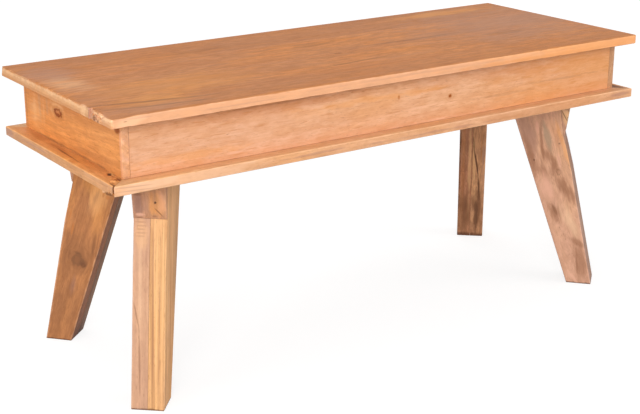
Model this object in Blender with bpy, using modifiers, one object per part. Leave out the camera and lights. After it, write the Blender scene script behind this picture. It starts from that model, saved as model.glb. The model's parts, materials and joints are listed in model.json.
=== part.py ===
# Dining bench in solid hardwood: board top, shallow box, mitred ledge frame and four splayed plank legs.
# Metres, +Z up. X runs along the bench, -Y is the front, and the origin is on the floor under the middle.

import math

import bmesh
import bpy
from mathutils import Matrix, Vector

# Glue lines and other faces that touch
GLUE_GAP = 0.0003

# Top, glued up from a narrow front board and wider ones behind it
TOP_LENGTH = 0.995
TOP_DEPTH = 0.385
TOP_THICKNESS = 0.015
FRONT_BOARD_WIDTH = 0.070
WIDE_BOARD_COUNT = 3
TOP_CORNER_RADIUS = 0.004
TOP_EDGE_EASE = 0.0016

# Box under the top: the end boards run the full depth, and the side boards are butted between them
TOP_END_OVERHANG = 0.025
TOP_SIDE_OVERHANG = 0.025
BOX_HEIGHT = 0.0791
END_BOARD_THICKNESS = 0.0115
SIDE_BOARD_THICKNESS = 0.015
BOX_EDGE_EASE = 0.0005

# Ledge frame round the foot of the box, mitred at its corners
LEDGE_END_LIP = 0.025
LEDGE_SIDE_LIP = 0.0225
LEDGE_THICKNESS = 0.015
LEDGE_STRIP_WIDTH = 0.060
LEDGE_EDGE_EASE = 0.0012

# Legs: planks of two boards side by side, which stand on the diagonals and widen upward.
# A diagonal runs from the foot to an aim point beside the bench's middle line.
LEG_HEIGHT = 0.340
LEG_BOARD_THICKNESS = 0.025
FOOT_END_INSET = 0.045
FOOT_SIDE_INSET = 0.021
LEG_AIM_RUN = 0.109
LEG_AIM_OFFSET = 0.046
FOOT_WIDTH = 0.044
LEG_TOP_WIDTH = 0.089
LEG_LEAN = 0.075
LEG_EDGE_EASE = 0.0014

# Hollow in the outer edge of a leg, deepest at the foot of the wedge
HOLLOW_LENGTH = 0.078
HOLLOW_DEPTH = 0.004
HOLLOW_STEPS = 6
HOLLOW_CURVE_POWER = 1.6

# Wedge on the outer edge of a leg, and the pin through it
WEDGE_LENGTH = 0.066
WEDGE_FOOT_THICKNESS = 0.0015
WEDGE_TOP_THICKNESS = 0.0205
WEDGE_EDGE_EASE = 0.0006
PIN_LENGTH = 0.025
PIN_RADIUS = 0.0011
PIN_HEAD_RADIUS = 0.0016
PIN_HEAD_THICKNESS = 0.0012
PIN_SUNK = 0.0005
PIN_HEIGHT_SHARE = 0.39
PIN_OFFSET_SHARE = 0.36

# Corner blocks, which fill the ledge frame's corners and reach over it with a rim
BLOCK_RIM_THICKNESS = 0.025
BLOCK_MARGIN = 0.008
BLOCK_INNER_SIDE_SHARE = 0.73

# Hexagon head screws and washers that hold each leg board to its block
LEG_SCREW_RADIUS = 0.004
LEG_SCREW_REACH = 0.036
LEG_SCREW_INSET = 0.026
LEG_SCREW_CLEARANCE = 0.0005
LEG_SCREW_POINT = 0.006
HEX_ACROSS_FLATS = 0.013
HEX_THICKNESS = 0.0055
WASHER_RADIUS = 0.011
WASHER_THICKNESS = 0.0016
WASHER_CLEARANCE = 0.0004

# Countersunk wood screws, from the blocks into the ledge and from the rail into the top
WOOD_SCREW_RADIUS = 0.002
WOOD_SCREW_HEAD_RADIUS = 0.004
WOOD_SCREW_HEAD_DEPTH = 0.0025
WOOD_SCREW_POINT = 0.004
WOOD_SCREW_COVER = 0.005
BLOCK_SCREW_INSET = 0.030

# Cross rail, on edge under the middle of the top
RAIL_THICKNESS = 0.022
RAIL_HEIGHT = 0.040
RAIL_EDGE_EASE = 0.001

# Cutting, welding and facets
OVERRUN = 0.005
WELD_DISTANCE = 0.00001
EASE_STEPS = 2
CORNER_STEPS = 4
SCREW_STEPS = 16
PIN_STEPS = 12
HEX_SIDES = 6
FLAT_ANGLE = math.radians(1)
SMOOTH_ANGLE = math.radians(35)

# Plan of the box and the ledge
BOX_LENGTH = TOP_LENGTH - 2 * TOP_END_OVERHANG
BOX_DEPTH = TOP_DEPTH - 2 * TOP_SIDE_OVERHANG
BOX_INSIDE_X = BOX_LENGTH / 2 - END_BOARD_THICKNESS
BOX_INSIDE_Y = BOX_DEPTH / 2 - SIDE_BOARD_THICKNESS
LEDGE_LENGTH = BOX_LENGTH + 2 * LEDGE_END_LIP
LEDGE_DEPTH = BOX_DEPTH + 2 * LEDGE_SIDE_LIP
LEDGE_INSIDE_X = LEDGE_LENGTH / 2 - LEDGE_STRIP_WIDTH
LEDGE_INSIDE_Y = LEDGE_DEPTH / 2 - LEDGE_STRIP_WIDTH

# Heights, from the floor up
WEDGE_FOOT_HEIGHT = LEG_HEIGHT - WEDGE_LENGTH
HOLLOW_START_HEIGHT = WEDGE_FOOT_HEIGHT - HOLLOW_LENGTH
LEDGE_BOTTOM = LEG_HEIGHT + GLUE_GAP
LEDGE_TOP = LEDGE_BOTTOM + LEDGE_THICKNESS
BOX_BOTTOM = LEDGE_TOP + GLUE_GAP
BOX_TOP = BOX_BOTTOM + BOX_HEIGHT
TOP_BOTTOM = BOX_TOP + GLUE_GAP
SEAT_HEIGHT = TOP_BOTTOM + TOP_THICKNESS
BLOCK_TOP = BOX_BOTTOM + BLOCK_RIM_THICKNESS
WASHER_BOTTOM = BLOCK_TOP + GLUE_GAP
LEG_SCREW_SEAT = WASHER_BOTTOM + WASHER_THICKNESS + GLUE_GAP
LEG_SCREW_END = LEG_HEIGHT - LEG_SCREW_REACH
RAIL_BOTTOM = BOX_TOP - RAIL_HEIGHT

# The middle of a foot's outer face, and the direction of the leg's diagonal
FOOT_X = LEDGE_LENGTH / 2 - FOOT_END_INSET
FOOT_Y = LEDGE_DEPTH / 2 - FOOT_SIDE_INSET
LEG_TURN = math.atan2(FOOT_Y - LEG_AIM_OFFSET, LEG_AIM_RUN)

CORNERS = {
    "front_left": (-1, -1),
    "front_right": (1, -1),
    "back_left": (-1, 1),
    "back_right": (1, 1),
}

# Base colour, roughness and metallic value of each finish
FINISHES = {
    "top_wood": ((0.52, 0.26, 0.12, 1.0), 0.45, 0.0),
    "box_wood": ((0.60, 0.31, 0.15, 1.0), 0.5, 0.0),
    "ledge_wood": ((0.56, 0.29, 0.13, 1.0), 0.5, 0.0),
    "leg_wood": ((0.46, 0.26, 0.15, 1.0), 0.5, 0.0),
    "wedge_wood": ((0.38, 0.22, 0.13, 1.0), 0.55, 0.0),
    "inner_wood": ((0.50, 0.32, 0.19, 1.0), 0.7, 0.0),
    "screw_steel": ((0.62, 0.62, 0.60, 1.0), 0.35, 1.0),
    "pin_steel": ((0.10, 0.08, 0.07, 1.0), 0.55, 1.0),
}


def clear_scene():
    for obj in list(bpy.data.objects):
        bpy.data.objects.remove(obj, do_unlink=True)
    for collection in list(bpy.data.collections):
        bpy.data.collections.remove(collection)


def make_collection(name):
    collection = bpy.data.collections.new(name)
    bpy.context.scene.collection.children.link(collection)
    return collection


def make_materials():
    materials = {}
    for name, (color, roughness, metallic) in FINISHES.items():
        material = bpy.data.materials.new(name)
        material.use_nodes = True
        shader = material.node_tree.nodes["Principled BSDF"]
        shader.inputs["Base Color"].default_value = color
        shader.inputs["Roughness"].default_value = roughness
        shader.inputs["Metallic"].default_value = metallic
        materials[name] = material
    return materials


clear_scene()
PARTS = make_collection("dining_bench")
CUTTERS = make_collection("cutters")
MATERIALS = make_materials()


def add_part(name, mesh, finish):
    obj = bpy.data.objects.new(name, mesh)
    if not mesh.materials:
        mesh.materials.append(MATERIALS[finish])
    PARTS.objects.link(obj)
    return obj


def add_guide(name, data):
    obj = bpy.data.objects.new(name, data)
    obj.hide_render = True
    obj.display_type = "WIRE"
    CUTTERS.objects.link(obj)
    return obj


def add_boolean(obj, operation, other):
    boolean = obj.modifiers.new(other.name, "BOOLEAN")
    boolean.operation = operation
    boolean.solver = "EXACT"
    boolean.object = other


def evaluated_mesh(obj):
    graph = bpy.context.evaluated_depsgraph_get()
    return bpy.data.meshes.new_from_object(obj.evaluated_get(graph))


def to_mesh(name, bm):
    bmesh.ops.recalc_face_normals(bm, faces=bm.faces)
    mesh = bpy.data.meshes.new(name)
    bm.to_mesh(mesh)
    bm.free()
    return mesh


# A closed mesh from a curve or modifier guide, with its loose ends welded
def welded_bmesh(guide):
    mesh = evaluated_mesh(guide)
    bm = bmesh.new()
    bm.from_mesh(mesh)
    bpy.data.meshes.remove(mesh)
    bpy.data.objects.remove(guide, do_unlink=True)
    bmesh.ops.remove_doubles(bm, verts=bm.verts, dist=WELD_DISTANCE)
    return bm


# A board between two opposite corners
def board_bmesh(low, high):
    low, high = Vector(low), Vector(high)
    bm = bmesh.new()
    bmesh.ops.create_cube(bm, size=1)
    bmesh.ops.scale(bm, vec=high - low, verts=bm.verts)
    bmesh.ops.translate(bm, vec=(low + high) / 2, verts=bm.verts)
    return bm


# A flat outline in the local XY plane, sawn from stock that reaches both ways along Z
def sawn_bmesh(points, thickness):
    curve = bpy.data.curves.new("outline", "CURVE")
    curve.dimensions = "2D"
    curve.fill_mode = "BOTH"
    curve.extrude = thickness / 2
    spline = curve.splines.new("POLY")
    spline.points.add(len(points) - 1)
    for point, (x, y) in zip(spline.points, points):
        point.co = (x, y, 0, 1)
    spline.use_cyclic_u = True
    bm = welded_bmesh(add_guide("outline", curve))
    bpy.data.curves.remove(curve)
    bmesh.ops.dissolve_limit(bm, angle_limit=FLAT_ANGLE, verts=bm.verts, edges=bm.edges)
    return bm


# A turned shape: a profile of (radius, height) points from the top down, swept round Z
def turned_mesh(name, profile, steps, closed=False):
    last = len(profile) - 1
    edges = [(i, i + 1) for i in range(last)]
    if closed:
        edges.append((last, 0))
    outline = bpy.data.meshes.new(name + "_profile")
    outline.from_pydata([(radius, 0, height) for radius, height in profile], edges, [])
    guide = add_guide(name + "_profile", outline)
    screw = guide.modifiers.new("turn", "SCREW")
    screw.axis = "Z"
    screw.angle = math.tau
    screw.steps = steps
    screw.render_steps = steps
    screw.use_merge_vertices = True
    screw.merge_threshold = WELD_DISTANCE
    mesh = to_mesh(name, welded_bmesh(guide))
    bpy.data.meshes.remove(outline)
    mesh.shade_smooth()
    mesh.set_sharp_from_angle(angle=SMOOTH_ANGLE)
    return mesh


# Breaks the edges that the test accepts; the test is given the two ends of an edge
def ease(bm, width, accepts, steps=EASE_STEPS):
    edges = [edge for edge in bm.edges if accepts(edge.verts[0].co, edge.verts[1].co)]
    bmesh.ops.bevel(
        bm, geom=edges, offset=width, segments=steps, profile=0.5, affect="EDGES", clamp_overlap=True
    )


def near(a, b):
    return abs(a - b) < WELD_DISTANCE


def any_edge(_a, _b):
    return True


# Top: the outer rim is eased all round, and the glued faces stay sharp
def build_top():
    wide_width = (TOP_DEPTH - FRONT_BOARD_WIDTH) / WIDE_BOARD_COUNT
    front = -TOP_DEPTH / 2
    rims = (front, TOP_DEPTH / 2)
    seams = [front + FRONT_BOARD_WIDTH + wide_width * i for i in range(WIDE_BOARD_COUNT)]
    sides = [front] + seams + [TOP_DEPTH / 2]

    def on_corner(a, b):
        return not near(a.z, b.z) and any(near(a.y, rim) for rim in rims)

    def on_rim(a, b):
        on_one_side = near(a.y, b.y) and not any(near(a.y, rim) for rim in rims)
        return near(a.z, b.z) and not on_one_side

    boards = []
    for number, (low_y, high_y) in enumerate(zip(sides, sides[1:]), start=1):
        if low_y in seams:
            low_y += GLUE_GAP / 2
        if high_y in seams:
            high_y -= GLUE_GAP / 2
        bm = board_bmesh((-TOP_LENGTH / 2, low_y, TOP_BOTTOM), (TOP_LENGTH / 2, high_y, SEAT_HEIGHT))
        ease(bm, TOP_CORNER_RADIUS, on_corner, steps=CORNER_STEPS)
        ease(bm, TOP_EDGE_EASE, on_rim)
        boards.append(add_part(f"top_board_{number}", to_mesh("top_board", bm), "top_wood"))
    return boards, [seam + wide_width / 2 for seam in seams]


# Box
def build_box():
    for name, sign in (("left", -1), ("right", 1)):
        low_x, high_x = sorted((sign * BOX_LENGTH / 2, sign * BOX_INSIDE_X))
        bm = board_bmesh((low_x, -BOX_DEPTH / 2, BOX_BOTTOM), (high_x, BOX_DEPTH / 2, BOX_TOP))
        ease(bm, BOX_EDGE_EASE, any_edge, steps=1)
        add_part("box_end_" + name, to_mesh("box_end", bm), "box_wood")
    reach = BOX_INSIDE_X - GLUE_GAP
    for name, sign in (("front", -1), ("back", 1)):
        low_y, high_y = sorted((sign * BOX_DEPTH / 2, sign * BOX_INSIDE_Y))
        bm = board_bmesh((-reach, low_y, BOX_BOTTOM), (reach, high_y, BOX_TOP))
        ease(bm, BOX_EDGE_EASE, any_edge, steps=1)
        add_part("box_side_" + name, to_mesh("box_side", bm), "box_wood")


# One ledge strip along local X with its outer face towards -Y, and a mitre at each end
def ledge_strip_mesh(length, across):
    half = length / 2 - GLUE_GAP / 2 * math.sqrt(2)
    outer_y = -across / 2
    inner_y = outer_y + LEDGE_STRIP_WIDTH
    bm = board_bmesh((-half, outer_y, 0), (half, inner_y, LEDGE_THICKNESS))
    for vert in bm.verts:
        if near(vert.co.y, inner_y):
            vert.co.x -= math.copysign(LEDGE_STRIP_WIDTH, vert.co.x)

    def on_outer_rim(a, b):
        return near(a.y, outer_y) and near(b.y, outer_y) and near(a.z, b.z)

    ease(bm, LEDGE_EDGE_EASE, on_outer_rim)
    return to_mesh("ledge_strip", bm)


def build_ledge():
    layout = {
        "front": (LEDGE_LENGTH, LEDGE_DEPTH, 0),
        "right": (LEDGE_DEPTH, LEDGE_LENGTH, math.radians(90)),
        "back": (LEDGE_LENGTH, LEDGE_DEPTH, math.radians(180)),
        "left": (LEDGE_DEPTH, LEDGE_LENGTH, math.radians(270)),
    }
    strips = {}
    for name, (length, across, turn) in layout.items():
        strip = add_part("ledge_" + name, ledge_strip_mesh(length, across), "ledge_wood")
        strip.rotation_euler.z = turn
        strip.location.z = LEDGE_BOTTOM
        strips[name] = strip
    return strips


# Outward along the diagonal that a leg stands on
def leg_outward(side_x, side_y):
    return Vector((side_x * math.cos(LEG_TURN), side_y * math.sin(LEG_TURN), 0))


# Across a leg, from its glue line towards the board that faces the bench's long side
def leg_across(side_x, side_y):
    return Vector((-side_x * math.sin(LEG_TURN), side_y * math.cos(LEG_TURN), 0))


def foot_place(side_x, side_y):
    return Vector((side_x * FOOT_X, side_y * FOOT_Y, 0))


# Stands a sawn outline on its diagonal: local X runs outward, local Y up
def leg_matrix(side_x, side_y, offset):
    outward = leg_outward(side_x, side_y)
    up = Vector((0, 0, 1))
    matrix = Matrix((outward, up, outward.cross(up))).transposed().to_4x4()
    matrix.translation = foot_place(side_x, side_y) + leg_across(side_x, side_y) * offset
    return matrix


# How far outward of the foot a leg's outer edge stands at a height
def leg_edge(height):
    straight = -LEG_LEAN * height / LEG_HEIGHT
    if height <= HOLLOW_START_HEIGHT:
        return straight
    if height <= WEDGE_FOOT_HEIGHT:
        share = (height - HOLLOW_START_HEIGHT) / HOLLOW_LENGTH
        return straight - HOLLOW_DEPTH * share**HOLLOW_CURVE_POWER
    share = (LEG_HEIGHT - height) / WEDGE_LENGTH
    return straight - HOLLOW_DEPTH * share


def leg_outline():
    heights = [HOLLOW_START_HEIGHT + HOLLOW_LENGTH * i / HOLLOW_STEPS for i in range(HOLLOW_STEPS + 1)]
    outer = [(leg_edge(height), height) for height in [0, *heights, LEG_HEIGHT]]
    return outer + [(-LEG_LEAN - LEG_TOP_WIDTH, LEG_HEIGHT), (-FOOT_WIDTH, 0)]


def wedge_outline():
    foot = leg_edge(WEDGE_FOOT_HEIGHT) + GLUE_GAP
    top = leg_edge(LEG_HEIGHT) + GLUE_GAP
    return [
        (foot, WEDGE_FOOT_HEIGHT),
        (foot + WEDGE_FOOT_THICKNESS, WEDGE_FOOT_HEIGHT),
        (top + WEDGE_TOP_THICKNESS, LEG_HEIGHT),
        (top, LEG_HEIGHT),
    ]


# The arrises of the outer broad face are eased, but not under the ledge and not where the wedge is glued
def build_leg(name, side_x, side_y):
    boards = {}
    for half, sign in (("side", 1), ("end", -1)):
        thickness = LEG_BOARD_THICKNESS - GLUE_GAP / 2
        bm = sawn_bmesh(leg_outline(), thickness)
        matrix = leg_matrix(side_x, side_y, sign * (LEG_BOARD_THICKNESS + GLUE_GAP / 2) / 2)
        facing = matrix.to_3x3().transposed() @ leg_across(side_x, side_y) * sign
        outer_face = math.copysign(thickness / 2, facing.z)

        def on_arris(a, b):
            under_ledge = near(a.y, LEG_HEIGHT) and near(b.y, LEG_HEIGHT)
            at_wedge = all(
                p.y > WEDGE_FOOT_HEIGHT - WELD_DISTANCE and near(p.x, leg_edge(p.y)) for p in (a, b)
            )
            return near(a.z, outer_face) and near(b.z, outer_face) and not under_ledge and not at_wedge

        ease(bm, LEG_EDGE_EASE, on_arris)
        board = add_part(f"leg_{name}_{half}_board", to_mesh("leg_board", bm), "leg_wood")
        board.matrix_world = matrix
        boards[half] = board
    return boards


def build_wedge(name, side_x, side_y):
    outline = wedge_outline()
    bm = sawn_bmesh(outline, 2 * LEG_BOARD_THICKNESS)
    low, high = outline[1], outline[2]

    def on_outer_arris(a, b):
        runs_up = (near(a.x, low[0]) and near(b.x, high[0])) or (near(a.x, high[0]) and near(b.x, low[0]))
        along_foot = near(a.y, WEDGE_FOOT_HEIGHT) and near(a.x, low[0]) and near(b.x, low[0])
        return runs_up or along_foot

    ease(bm, WEDGE_EDGE_EASE, on_outer_arris, steps=1)
    wedge = add_part("wedge_" + name, to_mesh("wedge", bm), "wedge_wood")
    wedge.matrix_world = leg_matrix(side_x, side_y, 0)
    return wedge


# The pin's head is at local z = 0 and its shank runs down; a hole is the same profile grown by its clearance
def pin_profile(grow, top):
    return [
        (0, top),
        (PIN_HEAD_RADIUS + grow, top),
        (PIN_HEAD_RADIUS + grow, -PIN_HEAD_THICKNESS - grow),
        (PIN_RADIUS + grow, -PIN_HEAD_THICKNESS - grow),
        (PIN_RADIUS + grow, -PIN_LENGTH - grow),
        (0, -PIN_LENGTH - grow),
    ]


# Drives the pin square into the outer face of the wedge, with its head sunk below the wood
def pin_matrix(side_x, side_y):
    outline = wedge_outline()
    low = Vector((*outline[1], 0))
    high = Vector((*outline[2], 0))
    face = (high - low).normalized()
    across = Vector((0, 0, 1))
    out = face.cross(across)
    local = Matrix((face, across, out)).transposed().to_4x4()
    local.translation = low.lerp(high, PIN_HEIGHT_SHARE) - out * PIN_SUNK
    return leg_matrix(side_x, side_y, PIN_OFFSET_SHARE * LEG_BOARD_THICKNESS) @ local


# Plan of a corner block out to the given limits: a rectangle that reaches past the inner end of the leg,
# chamfered square to the leg's diagonal. Its side towards the bench's middle line lies between that line
# and the leg's nearest corner.
def block_outline(limit_x, limit_y):
    outward = leg_outward(1, 1)
    across = leg_across(1, 1) * LEG_BOARD_THICKNESS
    inner_end = foot_place(1, 1) - outward * (LEG_LEAN + LEG_TOP_WIDTH)
    low_x = (inner_end + across).x - BLOCK_MARGIN
    low_y = (inner_end - across).y * BLOCK_INNER_SIDE_SHARE
    chamfer = inner_end.dot(outward) - BLOCK_MARGIN
    return [
        (limit_x, low_y),
        (limit_x, limit_y),
        (low_x, limit_y),
        (low_x, (chamfer - low_x * outward.x) / outward.y),
        ((chamfer - low_y * outward.y) / outward.x, low_y),
    ]


# One level of a corner block between two heights
def block_level_mesh(name, outline, bottom, top, side_x, side_y):
    bm = sawn_bmesh(outline, top - bottom)
    bmesh.ops.translate(bm, vec=(0, 0, (bottom + top) / 2), verts=bm.verts)
    bmesh.ops.scale(bm, vec=(side_x, side_y, 1), verts=bm.verts)
    return to_mesh(name, bm)


def build_block(name, side_x, side_y):
    rim_outline = block_outline(BOX_INSIDE_X - GLUE_GAP, BOX_INSIDE_Y - GLUE_GAP)
    foot_outline = block_outline(LEDGE_INSIDE_X - GLUE_GAP, LEDGE_INSIDE_Y - GLUE_GAP)
    rim = block_level_mesh("corner_block", rim_outline, BOX_BOTTOM, BLOCK_TOP, side_x, side_y)
    overlap = BLOCK_RIM_THICKNESS / 2
    foot = block_level_mesh("block_foot", foot_outline, LEDGE_BOTTOM, BOX_BOTTOM + overlap, side_x, side_y)
    block = add_part("corner_block_" + name, rim, "inner_wood")
    add_boolean(block, "UNION", add_guide("block_foot_" + name, foot))
    return block


# Countersunk screw with its head flush at local z = 0, pointing down
def wood_screw_profile(length, grow, top):
    head_radius = WOOD_SCREW_HEAD_RADIUS + grow
    profile = [(0, top), (head_radius, top)]
    if top:
        profile.append((head_radius, 0))
    return profile + [
        (WOOD_SCREW_RADIUS + grow, -WOOD_SCREW_HEAD_DEPTH),
        (WOOD_SCREW_RADIUS + grow, WOOD_SCREW_POINT - length - grow),
        (0, -length - grow),
    ]


# Hexagon head screw with the underside of its head at local z = 0, pointing down
def leg_screw_mesh(length):
    hex_radius = HEX_ACROSS_FLATS / 2 / math.cos(math.pi / HEX_SIDES)
    bm = bmesh.new()
    bmesh.ops.create_cone(
        bm,
        cap_ends=True,
        segments=HEX_SIDES,
        radius1=hex_radius,
        radius2=hex_radius,
        depth=HEX_THICKNESS,
        matrix=Matrix.Translation((0, 0, HEX_THICKNESS / 2)),
    )
    head = add_guide("leg_screw_head", to_mesh("leg_screw_head", bm))
    shank_profile = [
        (0, HEX_THICKNESS / 2),
        (LEG_SCREW_RADIUS, HEX_THICKNESS / 2),
        (LEG_SCREW_RADIUS, LEG_SCREW_POINT - length),
        (0, -length),
    ]
    shank = add_guide("leg_screw_shank", turned_mesh("leg_screw_shank", shank_profile, SCREW_STEPS))
    add_boolean(shank, "UNION", head)
    mesh = evaluated_mesh(shank)
    mesh.name = "leg_screw"
    for guide in (shank, head):
        bpy.data.objects.remove(guide, do_unlink=True)
    return mesh


# A clearance hole through the block, then a pilot hole down into the leg
def leg_screw_hole_profile():
    clear_radius = LEG_SCREW_RADIUS + LEG_SCREW_CLEARANCE
    pilot_radius = LEG_SCREW_RADIUS + GLUE_GAP
    leg_top = LEG_HEIGHT + GLUE_GAP / 2 - BLOCK_TOP
    pilot_end = LEG_SCREW_END - GLUE_GAP - BLOCK_TOP
    return [
        (0, OVERRUN),
        (clear_radius, OVERRUN),
        (clear_radius, leg_top),
        (pilot_radius, leg_top),
        (pilot_radius, pilot_end),
        (0, pilot_end),
    ]


def washer_profile():
    bore = LEG_SCREW_RADIUS + WASHER_CLEARANCE
    return [(bore, WASHER_THICKNESS), (WASHER_RADIUS, WASHER_THICKNESS), (WASHER_RADIUS, 0), (bore, 0)]


# Shapes that all four corners share
def make_shared_meshes():
    leg_screw_length = LEG_SCREW_SEAT - LEG_SCREW_END
    block_screw_length = BLOCK_TOP - LEDGE_BOTTOM - WOOD_SCREW_COVER
    screw = wood_screw_profile(block_screw_length, 0, 0)
    screw_hole = wood_screw_profile(block_screw_length, GLUE_GAP, OVERRUN)
    return {
        "pin": turned_mesh("wedge_pin", pin_profile(0, 0), PIN_STEPS),
        "pin_hole": turned_mesh("pin_hole", pin_profile(GLUE_GAP, OVERRUN), PIN_STEPS),
        "leg_screw": leg_screw_mesh(leg_screw_length),
        "leg_screw_hole": turned_mesh("leg_screw_hole", leg_screw_hole_profile(), SCREW_STEPS),
        "washer": turned_mesh("leg_washer", washer_profile(), SCREW_STEPS, closed=True),
        "block_screw": turned_mesh("block_screw", screw, SCREW_STEPS),
        "block_screw_hole": turned_mesh("block_screw_hole", screw_hole, SCREW_STEPS),
    }


def add_pin(name, side_x, side_y, shared, wedge, board):
    place = pin_matrix(side_x, side_y)
    pin = add_part("wedge_pin_" + name, shared["pin"], "pin_steel")
    hole = add_guide("pin_hole_" + name, shared["pin_hole"])
    pin.matrix_world = place
    hole.matrix_world = place
    for wood in (wedge, board):
        add_boolean(wood, "DIFFERENCE", hole)


# Two screws a leg, staggered so that each one runs down the middle of its own board
def add_leg_screws(name, side_x, side_y, shared, block, boards):
    foot = foot_place(side_x, side_y)
    outward = leg_outward(side_x, side_y)
    across = leg_across(side_x, side_y) * LEG_BOARD_THICKNESS / 2
    places = {
        "side": foot - outward * (LEG_LEAN + LEG_SCREW_INSET) + across,
        "end": foot - outward * (LEG_LEAN + LEG_TOP_WIDTH - LEG_SCREW_INSET) - across,
    }
    for half, place in places.items():
        hole = add_guide(f"leg_screw_hole_{name}_{half}", shared["leg_screw_hole"])
        hole.location = (place.x, place.y, BLOCK_TOP)
        for wood in (block, boards[half]):
            add_boolean(wood, "DIFFERENCE", hole)
        washer = add_part(f"leg_washer_{name}_{half}", shared["washer"], "screw_steel")
        washer.location = (place.x, place.y, WASHER_BOTTOM)
        screw = add_part(f"leg_screw_{name}_{half}", shared["leg_screw"], "screw_steel")
        screw.location = (place.x, place.y, LEG_SCREW_SEAT)


# Two screws a block, one down into each ledge strip under its rim
def add_block_screws(name, side_x, side_y, shared, block, strips):
    outline = block_outline(BOX_INSIDE_X, BOX_INSIDE_Y)
    block_x, block_y = outline[2][0], outline[0][1]
    places = {
        "side": (block_x + BLOCK_SCREW_INSET, (LEDGE_INSIDE_Y + BOX_INSIDE_Y) / 2),
        "end": ((LEDGE_INSIDE_X + BOX_INSIDE_X) / 2, block_y + BLOCK_SCREW_INSET),
    }
    for part, (x, y) in places.items():
        hole = add_guide(f"block_screw_hole_{name}_{part}", shared["block_screw_hole"])
        screw = add_part(f"block_screw_{name}_{part}", shared["block_screw"], "screw_steel")
        for obj in (hole, screw):
            obj.location = (side_x * x, side_y * y, BLOCK_TOP)
        for wood in (block, strips[part]):
            add_boolean(wood, "DIFFERENCE", hole)


def build_corner(name, side_x, side_y, ledge, shared):
    boards = build_leg(name, side_x, side_y)
    wedge = build_wedge(name, side_x, side_y)
    block = build_block(name, side_x, side_y)
    side_name, end_name = name.split("_")
    add_pin(name, side_x, side_y, shared, wedge, boards["side"])
    add_leg_screws(name, side_x, side_y, shared, block, boards)
    strips = {"side": ledge[side_name], "end": ledge[end_name]}
    add_block_screws(name, side_x, side_y, shared, block, strips)


# Cross rail, and the screws up through it into the two middle boards of the top
def build_rail(top_boards, board_middles):
    half = RAIL_THICKNESS / 2
    reach = BOX_INSIDE_Y - GLUE_GAP
    bm = board_bmesh((-half, -reach, RAIL_BOTTOM), (half, reach, BOX_TOP))

    def on_lower_arris(a, b):
        return near(a.z, RAIL_BOTTOM) and near(b.z, RAIL_BOTTOM)

    ease(bm, RAIL_EDGE_EASE, on_lower_arris, steps=1)
    rail = add_part("cross_rail", to_mesh("cross_rail", bm), "inner_wood")
    length = SEAT_HEIGHT - WOOD_SCREW_COVER - RAIL_BOTTOM
    screw_mesh = turned_mesh("rail_screw", wood_screw_profile(length, 0, 0), SCREW_STEPS)
    hole_mesh = turned_mesh("rail_screw_hole", wood_screw_profile(length, GLUE_GAP, OVERRUN), SCREW_STEPS)
    for name, y, board in (
        ("front", board_middles[0], top_boards[1]),
        ("back", board_middles[1], top_boards[2]),
    ):
        hole = add_guide("rail_screw_hole_" + name, hole_mesh)
        screw = add_part("rail_screw_" + name, screw_mesh, "screw_steel")
        for obj in (hole, screw):
            obj.rotation_euler.x = math.pi
            obj.location = (0, y, RAIL_BOTTOM)
        for wood in (rail, board):
            add_boolean(wood, "DIFFERENCE", hole)


def main():
    top_boards, board_middles = build_top()
    build_box()
    ledge = build_ledge()
    shared = make_shared_meshes()
    for name, (side_x, side_y) in CORNERS.items():
        build_corner(name, side_x, side_y, ledge, shared)
    build_rail(top_boards, board_middles)


main()
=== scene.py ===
import json
import math

import bmesh
import bpy
from mathutils import Matrix, Vector, noise as solidNoise
from mathutils.bvhtree import BVHTree

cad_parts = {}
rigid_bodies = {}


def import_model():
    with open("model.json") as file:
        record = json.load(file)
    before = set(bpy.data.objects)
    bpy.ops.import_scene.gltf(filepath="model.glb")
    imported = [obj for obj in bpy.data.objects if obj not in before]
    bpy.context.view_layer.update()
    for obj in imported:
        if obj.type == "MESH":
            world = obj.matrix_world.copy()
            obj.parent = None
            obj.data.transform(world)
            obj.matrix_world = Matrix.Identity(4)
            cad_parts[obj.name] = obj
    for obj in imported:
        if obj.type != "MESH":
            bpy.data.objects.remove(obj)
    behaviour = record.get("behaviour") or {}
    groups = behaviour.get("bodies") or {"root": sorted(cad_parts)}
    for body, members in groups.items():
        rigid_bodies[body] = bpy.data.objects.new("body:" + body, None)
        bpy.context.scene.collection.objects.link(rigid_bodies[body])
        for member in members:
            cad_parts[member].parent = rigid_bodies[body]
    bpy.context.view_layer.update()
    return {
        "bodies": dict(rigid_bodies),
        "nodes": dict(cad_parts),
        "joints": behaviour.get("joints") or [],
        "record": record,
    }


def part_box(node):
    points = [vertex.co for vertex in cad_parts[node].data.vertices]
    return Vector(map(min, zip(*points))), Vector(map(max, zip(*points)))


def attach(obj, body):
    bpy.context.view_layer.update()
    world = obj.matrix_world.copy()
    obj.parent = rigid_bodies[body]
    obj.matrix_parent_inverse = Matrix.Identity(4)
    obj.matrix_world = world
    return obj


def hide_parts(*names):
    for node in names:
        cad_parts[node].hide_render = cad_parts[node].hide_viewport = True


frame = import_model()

nodes = frame["nodes"]
print("dining bench: frame loaded,", len(nodes), "pieces")


# view from the front left corner, a little above the seat
cameraView = {
    "place": (-1.2282, -1.7404, 0.8991),
    "yaw": 34.513,  # degrees from +Y towards +X
    "pitch": -18.675,
    "focalPixels": 1325.7,
    "pictureWidth": 640,
    "sensorWidth": 36.0,
}


def addCamera(view):
    data = bpy.data.cameras.new("view")
    data.sensor_width = view["sensorWidth"]
    data.lens = view["focalPixels"] / view["pictureWidth"] * view["sensorWidth"]
    camera = bpy.data.objects.new("view", data)
    camera.location = view["place"]
    camera.rotation_euler = (math.radians(90 + view["pitch"]), 0, -math.radians(view["yaw"]))
    bpy.context.scene.collection.objects.link(camera)
    bpy.context.scene.camera = camera


addCamera(cameraView)
bpy.context.scene.view_settings.view_transform = "Standard"


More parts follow.
